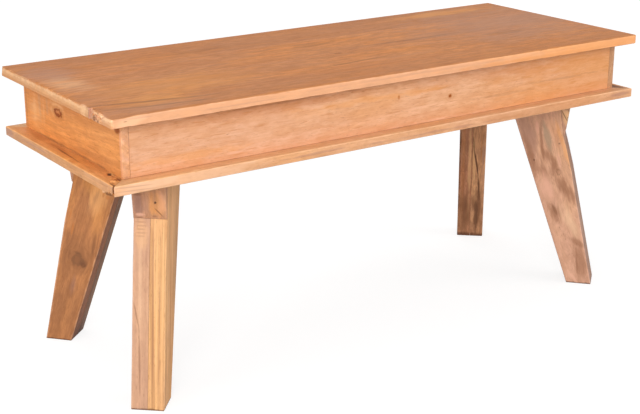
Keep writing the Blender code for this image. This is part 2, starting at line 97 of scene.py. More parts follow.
# short ways to place nodes and wire them up
def feed(tree, socket, value):
    if isinstance(value, bpy.types.NodeSocket):
        tree.links.new(value, socket)
    else:
        socket.default_value = value


def calc(tree, operation, *values, clamp=False):
    node = tree.nodes.new("ShaderNodeMath")
    node.operation = operation
    node.use_clamp = clamp
    for socket, value in zip(node.inputs, values):
        feed(tree, socket, value)
    return node.outputs[0]


def vectorCalc(tree, operation, *values):
    node = tree.nodes.new("ShaderNodeVectorMath")
    node.operation = operation
    for socket, value in zip(node.inputs, values):
        feed(tree, socket, value)
    return node.outputs["Value"] if operation in ("LENGTH", "DOT_PRODUCT") else node.outputs["Vector"]


def split(tree, vector):
    node = tree.nodes.new("ShaderNodeSeparateXYZ")
    feed(tree, node.inputs[0], vector)
    return node.outputs[0], node.outputs[1], node.outputs[2]


def join(tree, x, y, z):
    node = tree.nodes.new("ShaderNodeCombineXYZ")
    for socket, value in zip(node.inputs, (x, y, z)):
        feed(tree, socket, value)
    return node.outputs[0]


def noise(tree, vector, scale=1.0, detail=2.0, roughness=0.5):
    node = tree.nodes.new("ShaderNodeTexNoise")
    feed(tree, node.inputs["Vector"], vector)
    feed(tree, node.inputs["Scale"], scale)
    node.inputs["Detail"].default_value = detail
    node.inputs["Roughness"].default_value = roughness
    return node


def lineNoise(tree, value, detail=1.0, roughness=0.5):
    node = tree.nodes.new("ShaderNodeTexNoise")
    node.noise_dimensions = "1D"
    feed(tree, node.inputs["W"], value)
    node.inputs["Scale"].default_value = 1.0
    node.inputs["Detail"].default_value = detail
    node.inputs["Roughness"].default_value = roughness
    return node.outputs["Fac"]


def ramp(tree, value, low, high, outLow=0.0, outHigh=1.0):
    node = tree.nodes.new("ShaderNodeMapRange")
    node.interpolation_type = "SMOOTHSTEP"
    for socket, number in zip(node.inputs, (value, low, high, outLow, outHigh)):
        feed(tree, socket, number)
    return node.outputs[0]


def mixColor(tree, factor, a, b, blend="MIX"):
    node = tree.nodes.new("ShaderNodeMix")
    node.data_type = "RGBA"
    node.blend_type = blend
    node.clamp_factor = True
    node.clamp_result = True
    feed(tree, node.inputs[0], factor)
    feed(tree, node.inputs[6], a)
    feed(tree, node.inputs[7], b)
    return node.outputs[2]


def newGroup(name, inputs, outputs):
    tree = bpy.data.node_groups.new(name, "ShaderNodeTree")
    for label, kind, value in inputs:
        socket = tree.interface.new_socket(label, in_out="INPUT", socket_type="NodeSocket" + kind)
        socket.default_value = value
    for label, kind in outputs:
        tree.interface.new_socket(label, in_out="OUTPUT", socket_type="NodeSocket" + kind)
    return tree, tree.nodes.new("NodeGroupInput").outputs, tree.nodes.new("NodeGroupOutput").inputs


def useGroup(tree, group, **values):
    node = tree.nodes.new("ShaderNodeGroup")
    node.node_tree = group
    for name, value in values.items():
        label = "".join(" " + letter if letter.isupper() else letter for letter in name).strip().title()
        feed(tree, node.inputs[label], value)
    return node.outputs


# the grain of a board: positions are metres from the middle, with X along the grain and Z out of the face
def makeWoodFigure():
    tree, given, result = newGroup(
        "woodFigure",
        [
            ("Position", "Vector", (0, 0, 0)),
            ("Push", "Float", 0.0),
            ("Seed", "Float", 0.0),
            ("Ring Width", "Float", 0.006),
            ("Wander", "Float", 0.012),
            ("Wander Length", "Float", 0.3),
            ("Heart Side", "Float", 0.0),
            ("Heart Depth", "Float", -0.06),
            ("Heart Drift", "Float", 0.03),
        ],
        [(name, "Float") for name in ("Rings", "Bands", "Clouds", "Blush", "Ripple", "Fibres", "Flecks", "Pores")],
    )
    shift = join(tree, *(calc(tree, "MULTIPLY", given["Seed"], step) for step in (3.71, 2.37, 1.93)))
    moved = vectorCalc(tree, "ADD", given["Position"], shift)
    stretch = calc(tree, "DIVIDE", 1.0, given["Wander Length"])
    across = calc(tree, "MULTIPLY", stretch, 3.0)
    wanderPlace = vectorCalc(tree, "MULTIPLY", moved, join(tree, stretch, across, across))
    wanderNoise = noise(tree, wanderPlace, 1.0, 2.5, 0.45).outputs["Color"]
    centred = vectorCalc(tree, "SUBTRACT", wanderNoise, (0.5, 0.5, 0.5))
    reach = calc(tree, "MULTIPLY", given["Wander"], 2.0)
    _, wanderY, wanderZ = split(tree, vectorCalc(tree, "MULTIPLY", centred, join(tree, reach, reach, reach)))
    x, y, z = split(tree, given["Position"])
    grainY = calc(tree, "ADD", calc(tree, "ADD", y, given["Push"]), wanderY)
    grainZ = calc(tree, "ADD", z, wanderZ)
    drift = calc(tree, "MULTIPLY", x, given["Heart Drift"])
    heartY = calc(tree, "SUBTRACT", calc(tree, "SUBTRACT", grainY, given["Heart Side"]), drift)
    heartZ = calc(tree, "SUBTRACT", grainZ, given["Heart Depth"])
    radius = vectorCalc(tree, "LENGTH", join(tree, 0.0, heartY, heartZ))
    age = calc(tree, "ADD", calc(tree, "DIVIDE", radius, given["Ring Width"]), given["Seed"])
    feed(tree, result["Rings"], ramp(tree, lineNoise(tree, age, 2.0, 0.6), 0.3, 0.7))
    wideAge = calc(tree, "MULTIPLY_ADD", age, 0.21, 40.0)
    feed(tree, result["Bands"], ramp(tree, lineNoise(tree, wideAge, 1.0), 0.3, 0.7))

    clouds = noise(tree, vectorCalc(tree, "MULTIPLY", moved, (5.0, 14.0, 14.0)), 1.0, 6.0, 0.62)
    feed(tree, result["Clouds"], ramp(tree, clouds.outputs["Fac"], 0.4, 0.62))
    blushPlace = vectorCalc(tree, "MULTIPLY_ADD", moved, (3.6, 10.0, 10.0), (17.0, 5.0, 9.0))
    feed(tree, result["Blush"], ramp(tree, noise(tree, blushPlace, 1.0, 6.0, 0.62).outputs["Fac"], 0.4, 0.62))

    flow = vectorCalc(tree, "ADD", join(tree, x, grainY, grainZ), shift)
    ripple = noise(tree, vectorCalc(tree, "MULTIPLY", flow, (36.0, 115.0, 115.0)), 1.0, 3.0, 0.65)
    feed(tree, result["Ripple"], ramp(tree, ripple.outputs["Fac"], 0.34, 0.66))
    fibres = noise(tree, vectorCalc(tree, "MULTIPLY", flow, (14.0, 420.0, 420.0)), 1.0, 4.0, 0.7)
    feed(tree, result["Fibres"], ramp(tree, fibres.outputs["Fac"], 0.3, 0.7))
    flecks = noise(tree, vectorCalc(tree, "MULTIPLY", flow, (26.0, 270.0, 270.0)), 1.0, 2.0, 0.6)
    feed(tree, result["Flecks"], ramp(tree, flecks.outputs["Fac"], 0.58, 0.7))
    pores = noise(tree, vectorCalc(tree, "MULTIPLY", flow, (110.0, 1500.0, 1500.0)), 1.0, 1.0)
    feed(tree, result["Pores"], ramp(tree, pores.outputs["Fac"], 0.64, 0.76))
    return tree


# turns the figure into the board's colour, roughness and height
def makeWoodPaint():
    tree, given, result = newGroup(
        "woodPaint",
        [
            ("Rings", "Float", 0.5),
            ("Bands", "Float", 0.5),
            ("Clouds", "Float", 0.5),
            ("Blush", "Float", 0.5),
            ("Ripple", "Float", 0.5),
            ("Fibres", "Float", 0.5),
            ("Flecks", "Float", 0.0),
            ("Pores", "Float", 0.0),
            ("Light", "Color", (0.8, 0.4, 0.2, 1)),
            ("Dark", "Color", (0.5, 0.22, 0.1, 1)),
            ("Gold", "Color", (0.8, 0.38, 0.13, 1)),
            ("Pink", "Color", (0.65, 0.33, 0.22, 1)),
            ("Ring Amount", "Float", 0.35),
            ("Band Amount", "Float", 0.3),
            ("Gold Amount", "Float", 0.5),
            ("Pink Amount", "Float", 0.5),
            ("Ripple Amount", "Float", 0.1),
            ("Fibre Amount", "Float", 0.25),
            ("Fleck Amount", "Float", 0.4),
            ("Pore Amount", "Float", 0.5),
            ("Roughness", "Float", 0.5),
        ],
        [("Color", "Color"), ("Roughness", "Float"), ("Height", "Float")],
    )
    color = given["Light"]
    layers = (
        ("Clouds", "Gold Amount", "Gold"),
        ("Blush", "Pink Amount", "Pink"),
        ("Bands", "Band Amount", "Dark"),
        ("Rings", "Ring Amount", "Dark"),
        ("Ripple", "Ripple Amount", "Dark"),
        ("Fibres", "Fibre Amount", "Dark"),
        ("Flecks", "Fleck Amount", "Dark"),
    )
    for mask, amount, tint in layers:
        color = mixColor(tree, calc(tree, "MULTIPLY", given[mask], given[amount]), color, given[tint])
    poreMask = calc(tree, "MULTIPLY", given["Pores"], given["Pore Amount"])
    poreColor = mixColor(tree, 1.0, given["Dark"], (0.45, 0.4, 0.35, 1), "MULTIPLY")
    feed(tree, result["Color"], mixColor(tree, poreMask, color, poreColor))
    rough = calc(tree, "MULTIPLY_ADD", given["Fibres"], 0.12, given["Roughness"])
    rough = calc(tree, "MULTIPLY_ADD", given["Rings"], -0.07, rough)
    feed(tree, result["Roughness"], calc(tree, "MULTIPLY_ADD", poreMask, 0.2, rough))
    height = calc(tree, "MULTIPLY_ADD", given["Fibres"], -0.35, given["Rings"])
    height = calc(tree, "MULTIPLY_ADD", given["Flecks"], -0.5, height)
    feed(tree, result["Height"], calc(tree, "MULTIPLY_ADD", poreMask, -0.9, height))
    return tree


# a soft mark that lies along the grain, with a ragged outline; most are stains, a few are painted shade
def makeStainAndShade():
    tree, given, result = newGroup(
        "stain",
        [
            ("Position", "Vector", (0, 0, 0)),
            ("Centre", "Vector", (0, 0, 0)),
            ("Length", "Float", 0.1),
            ("Width", "Float", 0.01),
            ("Tilt", "Float", 0.0),
            ("Bow", "Float", 0.0),
            ("Feather", "Float", 0.7),
            ("Ragged", "Float", 0.5),
        ],
        [("Mask", "Float")],
    )
    x, y, _ = split(tree, vectorCalc(tree, "SUBTRACT", given["Position"], given["Centre"]))
    along = calc(tree, "DIVIDE", x, calc(tree, "MULTIPLY", given["Length"], 0.5))
    curve = calc(tree, "MULTIPLY", given["Bow"], calc(tree, "MULTIPLY", along, along))
    offset = calc(tree, "SUBTRACT", y, calc(tree, "MULTIPLY_ADD", x, given["Tilt"], curve))
    across = calc(tree, "DIVIDE", offset, calc(tree, "MULTIPLY", given["Width"], 0.5))
    grainPlace = vectorCalc(tree, "MULTIPLY", given["Position"], (25.0, 110.0, 110.0))
    rough = calc(tree, "SUBTRACT", noise(tree, grainPlace, 1.0, 3.0, 0.6).outputs["Fac"], 0.5)
    distance = vectorCalc(tree, "LENGTH", join(tree, along, across, 0.0))
    distance = calc(tree, "MULTIPLY_ADD", rough, calc(tree, "MULTIPLY", given["Ragged"], 3.0), distance)
    inner = calc(tree, "SUBTRACT", 1.0, given["Feather"])
    feed(tree, result["Mask"], ramp(tree, distance, inner, 1.0, 1.0, 0.0))
    return tree


# a knot through the board: the grain bends round it
def makeKnot():
    tree, given, result = newGroup(
        "knot",
        [
            ("Position", "Vector", (0, 0, 0)),
            ("Centre", "Vector", (0, 0, 0)),
            ("Size", "Float", 0.005),
            ("Stretch", "Float", 1.5),
            ("Bend", "Float", 0.8),
        ],
        [("Push", "Float"), ("Core", "Float"), ("Rim", "Float"), ("Swirl", "Float")],
    )
    x, y, _ = split(tree, vectorCalc(tree, "SUBTRACT", given["Position"], given["Centre"]))
    x = calc(tree, "DIVIDE", x, given["Stretch"])
    rough = noise(tree, given["Position"], 170.0, 2.0).outputs["Fac"]
    wobble = calc(tree, "MULTIPLY", calc(tree, "SUBTRACT", rough, 0.5), 1.3)
    distance = calc(tree, "DIVIDE", vectorCalc(tree, "LENGTH", join(tree, x, y, 0.0)), given["Size"])
    far = calc(tree, "MULTIPLY", calc(tree, "MULTIPLY", distance, distance), -0.16)
    fade = calc(tree, "EXPONENT", far)
    bend = calc(tree, "MULTIPLY", calc(tree, "MULTIPLY", y, given["Bend"]), fade)
    feed(tree, result["Push"], calc(tree, "MULTIPLY", bend, -1.0))
    uneven = calc(tree, "ADD", distance, wobble)
    feed(tree, result["Core"], ramp(tree, uneven, 0.7, 1.15, 1.0, 0.0))
    edge = calc(tree, "ABSOLUTE", calc(tree, "SUBTRACT", uneven, 0.95))
    feed(tree, result["Rim"], ramp(tree, edge, 0.1, 0.5, 1.0, 0.0))
    swirl = calc(tree, "MULTIPLY_ADD", calc(tree, "SINE", calc(tree, "MULTIPLY", uneven, 5.0)), 0.5, 0.5)
    feed(tree, result["Swirl"], calc(tree, "MULTIPLY", swirl, fade))
    return tree


# how close a point lies to an arris of its board, whose width may grow along the grain; arrises are lightened for
# wear and as a painted highlight
def makeArrisWearAndHighlight():
    tree, given, result = newGroup(
        "arrisWearAndHighlight",
        [
            ("Position", "Vector", (0, 0, 0)),
            ("Half Size", "Vector", (0.1, 0.1, 0.1)),
            ("Taper", "Float", 0.0),
            ("Reach", "Float", 0.002),
        ],
        [("Worn", "Float")],
    )
    x, _, _ = split(tree, given["Position"])
    inside = vectorCalc(tree, "SUBTRACT", given["Half Size"], vectorCalc(tree, "ABSOLUTE", given["Position"]))
    endGap, sideGap, faceGap = split(tree, inside)
    sideGap = calc(tree, "MULTIPLY_ADD", x, given["Taper"], sideGap)
    nearer = calc(tree, "MINIMUM", endGap, sideGap)
    farther = calc(tree, "MAXIMUM", endGap, sideGap)
    second = calc(tree, "MAXIMUM", nearer, calc(tree, "MINIMUM", farther, faceGap))
    uneven = noise(tree, given["Position"], 60.0, 3.0, 0.6).outputs["Fac"]
    reach = calc(tree, "MULTIPLY", given["Reach"], calc(tree, "MULTIPLY_ADD", uneven, 2.4, -0.2))
    feed(tree, result["Worn"], ramp(tree, calc(tree, "DIVIDE", second, reach), 0.2, 1.0, 1.0, 0.0))
    return tree


# tells the sawn ends and the narrow sides of a board from its face
def makeBoardSides():
    tree, given, result = newGroup(
        "boardSides",
        [("Normal", "Vector", (0, 0, 1)), ("Along", "Vector", (1, 0, 0)), ("Facing", "Vector", (0, 0, 1))],
        [("End", "Float"), ("Side", "Float")],
    )
    end = calc(tree, "ABSOLUTE", vectorCalc(tree, "DOT_PRODUCT", given["Normal"], given["Along"]))
    face = calc(tree, "ABSOLUTE", vectorCalc(tree, "DOT_PRODUCT", given["Normal"], given["Facing"]))
    feed(tree, result["End"], ramp(tree, end, 0.5, 0.9))
    feed(tree, result["Side"], ramp(tree, face, 0.3, 0.8, 1.0, 0.0))
    return tree


# painted contact shadow: a leg darkens over a small, uneven height just above the floor
def makeFootShadow():
    tree, given, result = newGroup(
        "footShadow", [("Position", "Vector", (0, 0, 0)), ("Height", "Float", 0.003)], [("Mask", "Float")]
    )
    _, _, z = split(tree, given["Position"])
    uneven = noise(tree, given["Position"], 90.0, 3.0, 0.6).outputs["Fac"]
    reach = calc(tree, "MULTIPLY", given["Height"], calc(tree, "MULTIPLY_ADD", uneven, 1.6, 0.2))
    feed(tree, result["Mask"], ramp(tree, calc(tree, "DIVIDE", z, reach), 0.4, 1.2, 1.0, 0.0))
    return tree


woodFigure = makeWoodFigure()
woodPaint = makeWoodPaint()
stainAndShadeGroup = makeStainAndShade()
knotGroup = makeKnot()
arrisWearAndHighlight = makeArrisWearAndHighlight()
boardSides = makeBoardSides()
footShadow = makeFootShadow()
print("node groups made")


# a soft key lamp from the front left, an even sky and a pale floor
studio = {
    # azimuth from the front towards the left end, height, distance, size, power
    "lamps": {
        "keyLamp": (40.0, 20.0, 4.0, 2.2, 90.0),
        "rightFill": (-45.0, 12.0, 4.5, 3.0, 84.0),
        "leftFill": (80.0, 12.0, 4.5, 3.0, 60.0),
        "topLamp": (180.0, 75.0, 3.5, 2.5, 26.0),
    },
    "skyLight": 0.42,
    "aim": (0, 0, 0.25),
    "floorHalf": 12.0,
    "floorColor": (0.42, 0.42, 0.42, 1),
    "floorShown": (0.32, 0.32, 0.32, 1),
    "floorGlow": 0.785,
    "whiteFrom": 1.5,  # beyond this distance the floor fades into the white backdrop
    "whiteAt": 5.0,
}


def directView(tree):
    path = tree.nodes.new("ShaderNodeLightPath")
    seen = calc(tree, "MAXIMUM", path.outputs["Is Camera Ray"], path.outputs["Is Glossy Ray"])
    return calc(tree, "MAXIMUM", seen, path.outputs["Is Transmission Ray"])


def addStudio(settings):
    for name, (azimuth, height, distance, size, power) in settings["lamps"].items():
        turn, rise = math.radians(azimuth), math.radians(height)
        toLamp = Vector((-math.sin(turn) * math.cos(rise), -math.cos(turn) * math.cos(rise), math.sin(rise)))
        data = bpy.data.lights.new(name, "AREA")
        data.shape = "DISK"
        data.size = size
        data.energy = power
        lamp = bpy.data.objects.new(name, data)
        lamp.location = Vector(settings["aim"]) + toLamp * distance
        lamp.rotation_euler = toLamp.to_track_quat("Z", "Y").to_euler()
        bpy.context.scene.collection.objects.link(lamp)

    world = bpy.data.worlds.new("paleStudio")
    bpy.context.scene.world = world
    world.use_nodes = True
    tree = world.node_tree
    background = tree.nodes["Background"]
    background.inputs["Color"].default_value = (1, 1, 1, 1)
    strength = calc(tree, "MULTIPLY_ADD", directView(tree), 1.0 - settings["skyLight"], settings["skyLight"])
    tree.links.new(strength, background.inputs["Strength"])

    half = settings["floorHalf"]
    mesh = bpy.data.meshes.new("floor")
    mesh.from_pydata([(-half, -half, 0), (half, -half, 0), (half, half, 0), (-half, half, 0)], [], [(0, 1, 2, 3)])
    floor = bpy.data.objects.new("floor", mesh)
    bpy.context.scene.collection.objects.link(floor)
    material = bpy.data.materials.new("paleFloor")
    material.use_nodes = True
    tree = material.node_tree
    shader = tree.nodes["Principled BSDF"]
    seen = directView(tree)
    tree.links.new(mixColor(tree, seen, settings["floorColor"], settings["floorShown"]), shader.inputs["Base Color"])
    shader.inputs["Roughness"].default_value = 1.0
    shader.inputs["Specular IOR Level"].default_value = 0.0
    shader.inputs["Emission Color"].default_value = (1, 1, 1, 1)
    place = tree.nodes.new("ShaderNodeTexCoord").outputs["Object"]
    away = vectorCalc(tree, "LENGTH", place)
    glow = ramp(tree, away, settings["whiteFrom"], settings["whiteAt"], settings["floorGlow"], 1.0)
    tree.links.new(calc(tree, "MULTIPLY", seen, glow), shader.inputs["Emission Strength"])
    mesh.materials.append(material)


addStudio(studio)
print("studio lit")


# colours of the stains that mark single boards, also used for painted shade on a few of them
stainAndShadeColors = {
    "umber": (0.20, 0.085, 0.04),
    "bark": (0.09, 0.035, 0.02),
    "smoke": (0.36, 0.165, 0.09),
    "moss": (0.38, 0.265, 0.17),
    "plum": (0.25, 0.14, 0.12),
    "mauve": (0.47, 0.25, 0.17),
    "rust": (0.52, 0.18, 0.05),
    "ember": (0.26, 0.052, 0.002),
    "honey": (0.80, 0.34, 0.09),
    "straw": (0.92, 0.52, 0.24),
    "blush": (0.82, 0.44, 0.30),
    "cream": (0.93, 0.60, 0.37),
}

up = Vector((0, 0, 1))
right = Vector((1, 0, 0))
back = Vector((0, 1, 0))


def nodeBox(*names):
    corners = [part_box(name) for name in names]
    low = Vector([min(corner[0][axis] for corner in corners) for axis in range(3)])
    high = Vector([max(corner[1][axis] for corner in corners) for axis in range(3)])
    return (low + high) / 2, (high - low) / 2


# a frame with X along the grain and Z out of the board's face
def grainFrame(along, facing):
    x = along.normalized()
    z = (facing - x * facing.dot(x)).normalized()
    return Matrix((x, z.cross(x), z)).transposed()


# a mark lies at a place along and across its board, on the face or on the narrow side; most are stains, a few are
# painted shade
def stain(color, amount, along, across, length, width, tilt=0.0, bow=0.0, feather=0.7, ragged=0.5, onSide=False):
    return {
        "color": color,
        "amount": amount,
        "centre": (along, across, 0),
        "length": length,
        "width": width,
        "tilt": tilt,
        "bow": bow,
        "feather": feather,
        "ragged": ragged,
        "onSide": onSide,
    }


def knot(along, across, size, stretch=1.3, bend=0.8, core=0.6, rim=0.6, heart="rust", ring="umber"):
    return {
        "centre": (along, across, 0),
        "size": size,
        "stretch": stretch,
        "bend": bend,
        "core": core,
        "rim": rim,
        "heart": heart,
        "ring": ring,
    }


def placeIn(tree, source, middle, frame):
    mapping = tree.nodes.new("ShaderNodeMapping")
    mapping.vector_type = "TEXTURE"
    mapping.inputs["Location"].default_value = middle
    mapping.inputs["Rotation"].default_value = frame.to_euler()
    tree.links.new(source, mapping.inputs["Vector"])
    return mapping.outputs[0]


def boardWood(name, finish, board):
    material = bpy.data.materials.new(name)
    material.use_nodes = True
    tree = material.node_tree
    shader = tree.nodes["Principled BSDF"]
    world = tree.nodes.new("ShaderNodeTexCoord").outputs["Object"]
    place = placeIn(tree, world, board["middle"], board["frame"])
    markPlace = placeIn(tree, world, *board["markFrame"]) if "markFrame" in board else place
    facing = board["markFrame"][1].col[2] if "markFrame" in board else board["frame"].col[2]
    sides = useGroup(
        tree,
        boardSides,
        normal=tree.nodes.new("ShaderNodeNewGeometry").outputs["Normal"],
        along=board["frame"].col[0],
        facing=facing,
    )

    knots = []
    push = 0.0
    for item in board.get("knots", ()):
        shape = {key: item[key] for key in ("centre", "size", "stretch", "bend")}
        found = useGroup(tree, knotGroup, position=place, **shape)
        knots.append((found, item))
        push = calc(tree, "ADD", push, found["Push"])
    figure = useGroup(
        tree,
        woodFigure,
        position=place,
        push=push,
        seed=board["seed"],
        ringWidth=finish["ringWidth"],
        wander=finish["wander"],
        wanderLength=finish["wanderLength"],
        heartSide=board["heart"][0],
        heartDepth=board["half"].z - board["heart"][1],
        heartDrift=board["heart"][2],
    )
    masks = {label.lower(): figure[label] for label in figure.keys()}
    amounts = {key: value for key, value in finish.items() if key.endswith("Amount")}
    tints = {key: (*finish[key], 1) for key in ("light", "dark", "gold", "pink")}
    paint = useGroup(tree, woodPaint, roughness=finish["roughness"], **masks, **amounts, **tints)
    color = paint["Color"]

    x, y, z = split(tree, markPlace)
    sidePlace = join(tree, x, z, y)
    def addStainsAndShade(color, items):
        for item in items:
            shape = {key: item[key] for key in ("centre", "length", "width", "tilt", "bow", "feather", "ragged")}
            found = useGroup(tree, stainAndShadeGroup, position=sidePlace if item["onSide"] else markPlace, **shape)
            mask = calc(tree, "MULTIPLY", found["Mask"], item["amount"])
            if item["onSide"]:
                mask = calc(tree, "MULTIPLY", mask, sides["Side"])
            color = mixColor(tree, mask, color, (*stainAndShadeColors[item["color"]], 1))
        return color

    color = addStainsAndShade(color, board.get("stainsAndShade", ()))
    for found, item in knots:
        heart = (*stainAndShadeColors[item["heart"]], 1)
        ring = (*stainAndShadeColors[item["ring"]], 1)
        color = mixColor(tree, calc(tree, "MULTIPLY", found["Swirl"], item["rim"]), color, (*finish["dark"], 1))
        color = mixColor(tree, calc(tree, "MULTIPLY", found["Core"], item["core"]), color, heart)
        color = mixColor(tree, calc(tree, "MULTIPLY", found["Rim"], item["rim"]), color, ring)
    color = addStainsAndShade(color, board.get("lateStains", ()))

    # narrow sides take the board's side tint; on some legs it darkens them as painted shade
    narrow = calc(tree, "SUBTRACT", sides["Side"], sides["End"], clamp=True)
    color = mixColor(tree, narrow, color, (*board.get("sideTint", finish["sideTint"]), 1), "MULTIPLY")
    color = mixColor(tree, sides["End"], color, (*board.get("endTint", finish["endTint"]), 1), "MULTIPLY")
    # arrises lightened: wear, and a painted highlight along each arris
    wornAndHighlit = useGroup(
        tree,
        arrisWearAndHighlight,
        position=markPlace,
        halfSize=board["half"],
        taper=board.get("taper", 0.0),
        reach=finish["wear"],
    )["Worn"]
    color = mixColor(tree, wornAndHighlit, color, (*finish["wornTint"], 1), "MULTIPLY")
    # painted contact shadow at the foot of each leg
    if "soil" in board:
        footShaded = calc(tree, "MULTIPLY", useGroup(tree, footShadow, position=world, height=board["soil"])["Mask"], 0.75)
        color = mixColor(tree, footShaded, color, (*stainAndShadeColors["bark"], 1))
    tree.links.new(color, shader.inputs["Base Color"])
    tree.links.new(calc(tree, "MULTIPLY_ADD", wornAndHighlit, 0.1, paint["Roughness"]), shader.inputs["Roughness"])
    shader.inputs["Specular IOR Level"].default_value = finish["specular"]
    bump = tree.nodes.new("ShaderNodeBump")
    bump.inputs["Strength"].default_value = finish["bump"]
    bump.inputs["Distance"].default_value = 0.0003
    tree.links.new(paint["Height"], bump.inputs["Height"])
    tree.links.new(bump.outputs[0], shader.inputs["Normal"])
    return material


def dress(piece, material):
    slots = piece.data.materials
    slots.clear()
    slots.append(material)


# how the boards are worn: their arrises are rounded and nibbled, and their faces are a little uneven
boardWear = {
    "round": 0.0007,
    "alongStep": 0.007,
    "acrossStep": 0.012,
    "nibble": 0.0005,
    "dent": 0.0011,
    "unevenFace": 0.00015,
    "chipStep": 0.0012,
    "longChipStep": 0.004,
    "touching": 0.0008,
    "sharpAngle": 20.0,
}
trees = {}
for name, node in nodes.items():
    corners = [vertex.co for vertex in node.data.vertices]
    trees[name] = BVHTree.FromPolygons(corners, [face.vertices for face in node.data.polygons])


def touchesNeighbour(name, point):
    gap = boardWear["touching"]
    return any(tree.find_nearest(point, gap)[0] is not None for other, tree in trees.items() if other != name)


def cutBoard(bm, direction, places, inside=None):
    for place in places:
        faces = [face for face in bm.faces if inside is None or inside(face.calc_center_median())]
        parts = {part for face in faces for part in (*face.edges, *face.verts)}
        bmesh.ops.bisect_plane(bm, geom=[*parts, *faces], plane_co=direction * place, plane_no=direction)


def steps(low, high, step):
    count = max(1, round((high - low) / step))
    return [low + (high - low) * index / count for index in range(1, count)]


# a chip is a soft ball of the board that is pushed in: its middle, its reach and its push are in metres
def chip(at, reach, push, rough=0.6):
    return {"at": Vector(at), "reach": Vector(reach), "push": Vector(push), "rough": rough}


def chipShare(item, point):
    away = Vector([(point[axis] - item["at"][axis]) / item["reach"][axis] for axis in range(3)])
    share = 1 - away.length + item["rough"] * solidNoise.noise(point * 260)
    return min(1.0, max(0.0, share * 1.8)) if away.length < 1.2 else 0.0


def wornBoard(name, board):
    bm = bmesh.new()
    bm.from_mesh(nodes[name].data)
    bmesh.ops.remove_doubles(bm, verts=bm.verts, dist=0.000001)
    bmesh.ops.dissolve_limit(bm, angle_limit=math.radians(1), verts=bm.verts, edges=bm.edges)
    arrises = [
        edge
        for edge in bm.edges
        if len(edge.link_faces) == 2
        and edge.is_convex
        and edge.calc_face_angle() > math.radians(30)
        and edge.calc_length() > 0.008
        and not touchesNeighbour(name, (edge.verts[0].co + edge.verts[1].co) / 2)
    ]
    rounded = bmesh.ops.bevel(
        bm, geom=arrises, offset=boardWear["round"], segments=2, profile=0.5, affect="EDGES", clamp_overlap=False
    )
    for face in rounded["faces"]:
        face.material_index = 1

    axes = [board["frame"].col[axis].copy() for axis in range(3)]
    for direction, step in zip(axes, (boardWear["alongStep"], boardWear["acrossStep"])):
        reaches = [vertex.co.dot(direction) for vertex in bm.verts]
        cutBoard(bm, direction, steps(min(reaches), max(reaches), step))
    for item in board.get("chips", ()):

        def nearChip(point):
            return all(abs(point[axis] - item["at"][axis]) < item["reach"][axis] * 1.3 for axis in range(3))

        for axis, direction in enumerate((right, back, up)):
            low, high = item["at"][axis] - item["reach"][axis], item["at"][axis] + item["reach"][axis]
            if item["rough"] > 0:
                step = boardWear["chipStep"] if high - low < 0.05 else boardWear["longChipStep"]
                cutBoard(bm, direction, steps(low, high, step), nearChip)

    bm.normal_update()
    seed = Vector((board["seed"], 0, 0))
    moves = []
    for vertex in bm.verts:
        point = vertex.co
        if any(face.material_index == 1 for face in vertex.link_faces):
            bite = boardWear["nibble"] * max(0.0, solidNoise.noise(point * 90 + seed))
            bite += boardWear["dent"] * max(0.0, solidNoise.noise(point * 31 - seed) - 0.35)
        else:
            bite = boardWear["unevenFace"] * (0.5 + 0.5 * solidNoise.noise(point * 18 + seed))
        move = vertex.normal * -bite
        for item in board.get("chips", ()):
            move += item["push"] * chipShare(item, point)
        moves.append(move)
    low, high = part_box(name)
    for vertex, move in zip(bm.verts, moves):
        place = vertex.co + move
        vertex.co = [min(max(place[axis], low[axis]), high[axis]) for axis in range(3)]
    for face in bm.faces:
        face.material_index = 0
        face.smooth = True
    mesh = bpy.data.meshes.new("worn_" + name)
    bm.to_mesh(mesh)
    bm.free()
    mesh.set_sharp_from_angle(angle=math.radians(boardWear["sharpAngle"]))
    piece = bpy.data.objects.new("worn_" + name, mesh)
    bpy.context.scene.collection.objects.link(piece)
    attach(piece, "root")
    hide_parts(name)
    return piece


glueLines = []


def addGlue(name, points, faces):
    mesh = bpy.data.meshes.new(name)
    mesh.from_pydata(points, [], faces)
    piece = bpy.data.objects.new(name, mesh)
    bpy.context.scene.collection.objects.link(piece)
    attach(piece, "root")
    return piece


# the glue between two boards that lie side by side along one axis
def seamGlue(first, second, axis):
    setting = {"inset": (0.004, 0.0006, 0.0004), "clearance": 0.00005}
    (lowA, highA), (lowB, highB) = sorted((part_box(first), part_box(second)), key=lambda box: box[0][axis])
    low = [max(a, b) + inset for a, b, inset in zip(lowA, lowB, setting["inset"])]
    high = [min(a, b) - inset for a, b, inset in zip(highA, highB, setting["inset"])]
    low[axis] = highA[axis] + setting["clearance"]
    high[axis] = lowB[axis] - setting["clearance"]
    points = [[x, y, z] for x in (low[0], high[0]) for y in (low[1], high[1]) for z in (low[2], high[2])]
    faces = [(0, 1, 3, 2), (4, 6, 7, 5), (0, 4, 5, 1), (2, 3, 7, 6), (0, 2, 6, 4), (1, 5, 7, 3)]
    return addGlue(f"glue_{first}_{second}", points, faces)


oiledWood = {
    "ringWidth": 0.007,
    "wander": 0.012,
    "wanderLength": 0.3,
    "ringAmount": 0.28,
    "bandAmount": 0.25,
    "goldAmount": 0.8,
    "pinkAmount": 0.7,
    "rippleAmount": 0.4,
    "fibreAmount": 0.25,
    "fleckAmount": 0.45,
    "poreAmount": 0.5,
    "roughness": 0.55,
    "specular": 0.12,
    "sideTint": (1.0, 1.0, 1.0),
    "endTint": (0.9, 0.95, 1.05),
    # arris tint and reach: wear, and a painted highlight
    "wornTint": (1.12, 1.2, 1.3),
    "wear": 0.0022,
    "bump": 0.4,
}


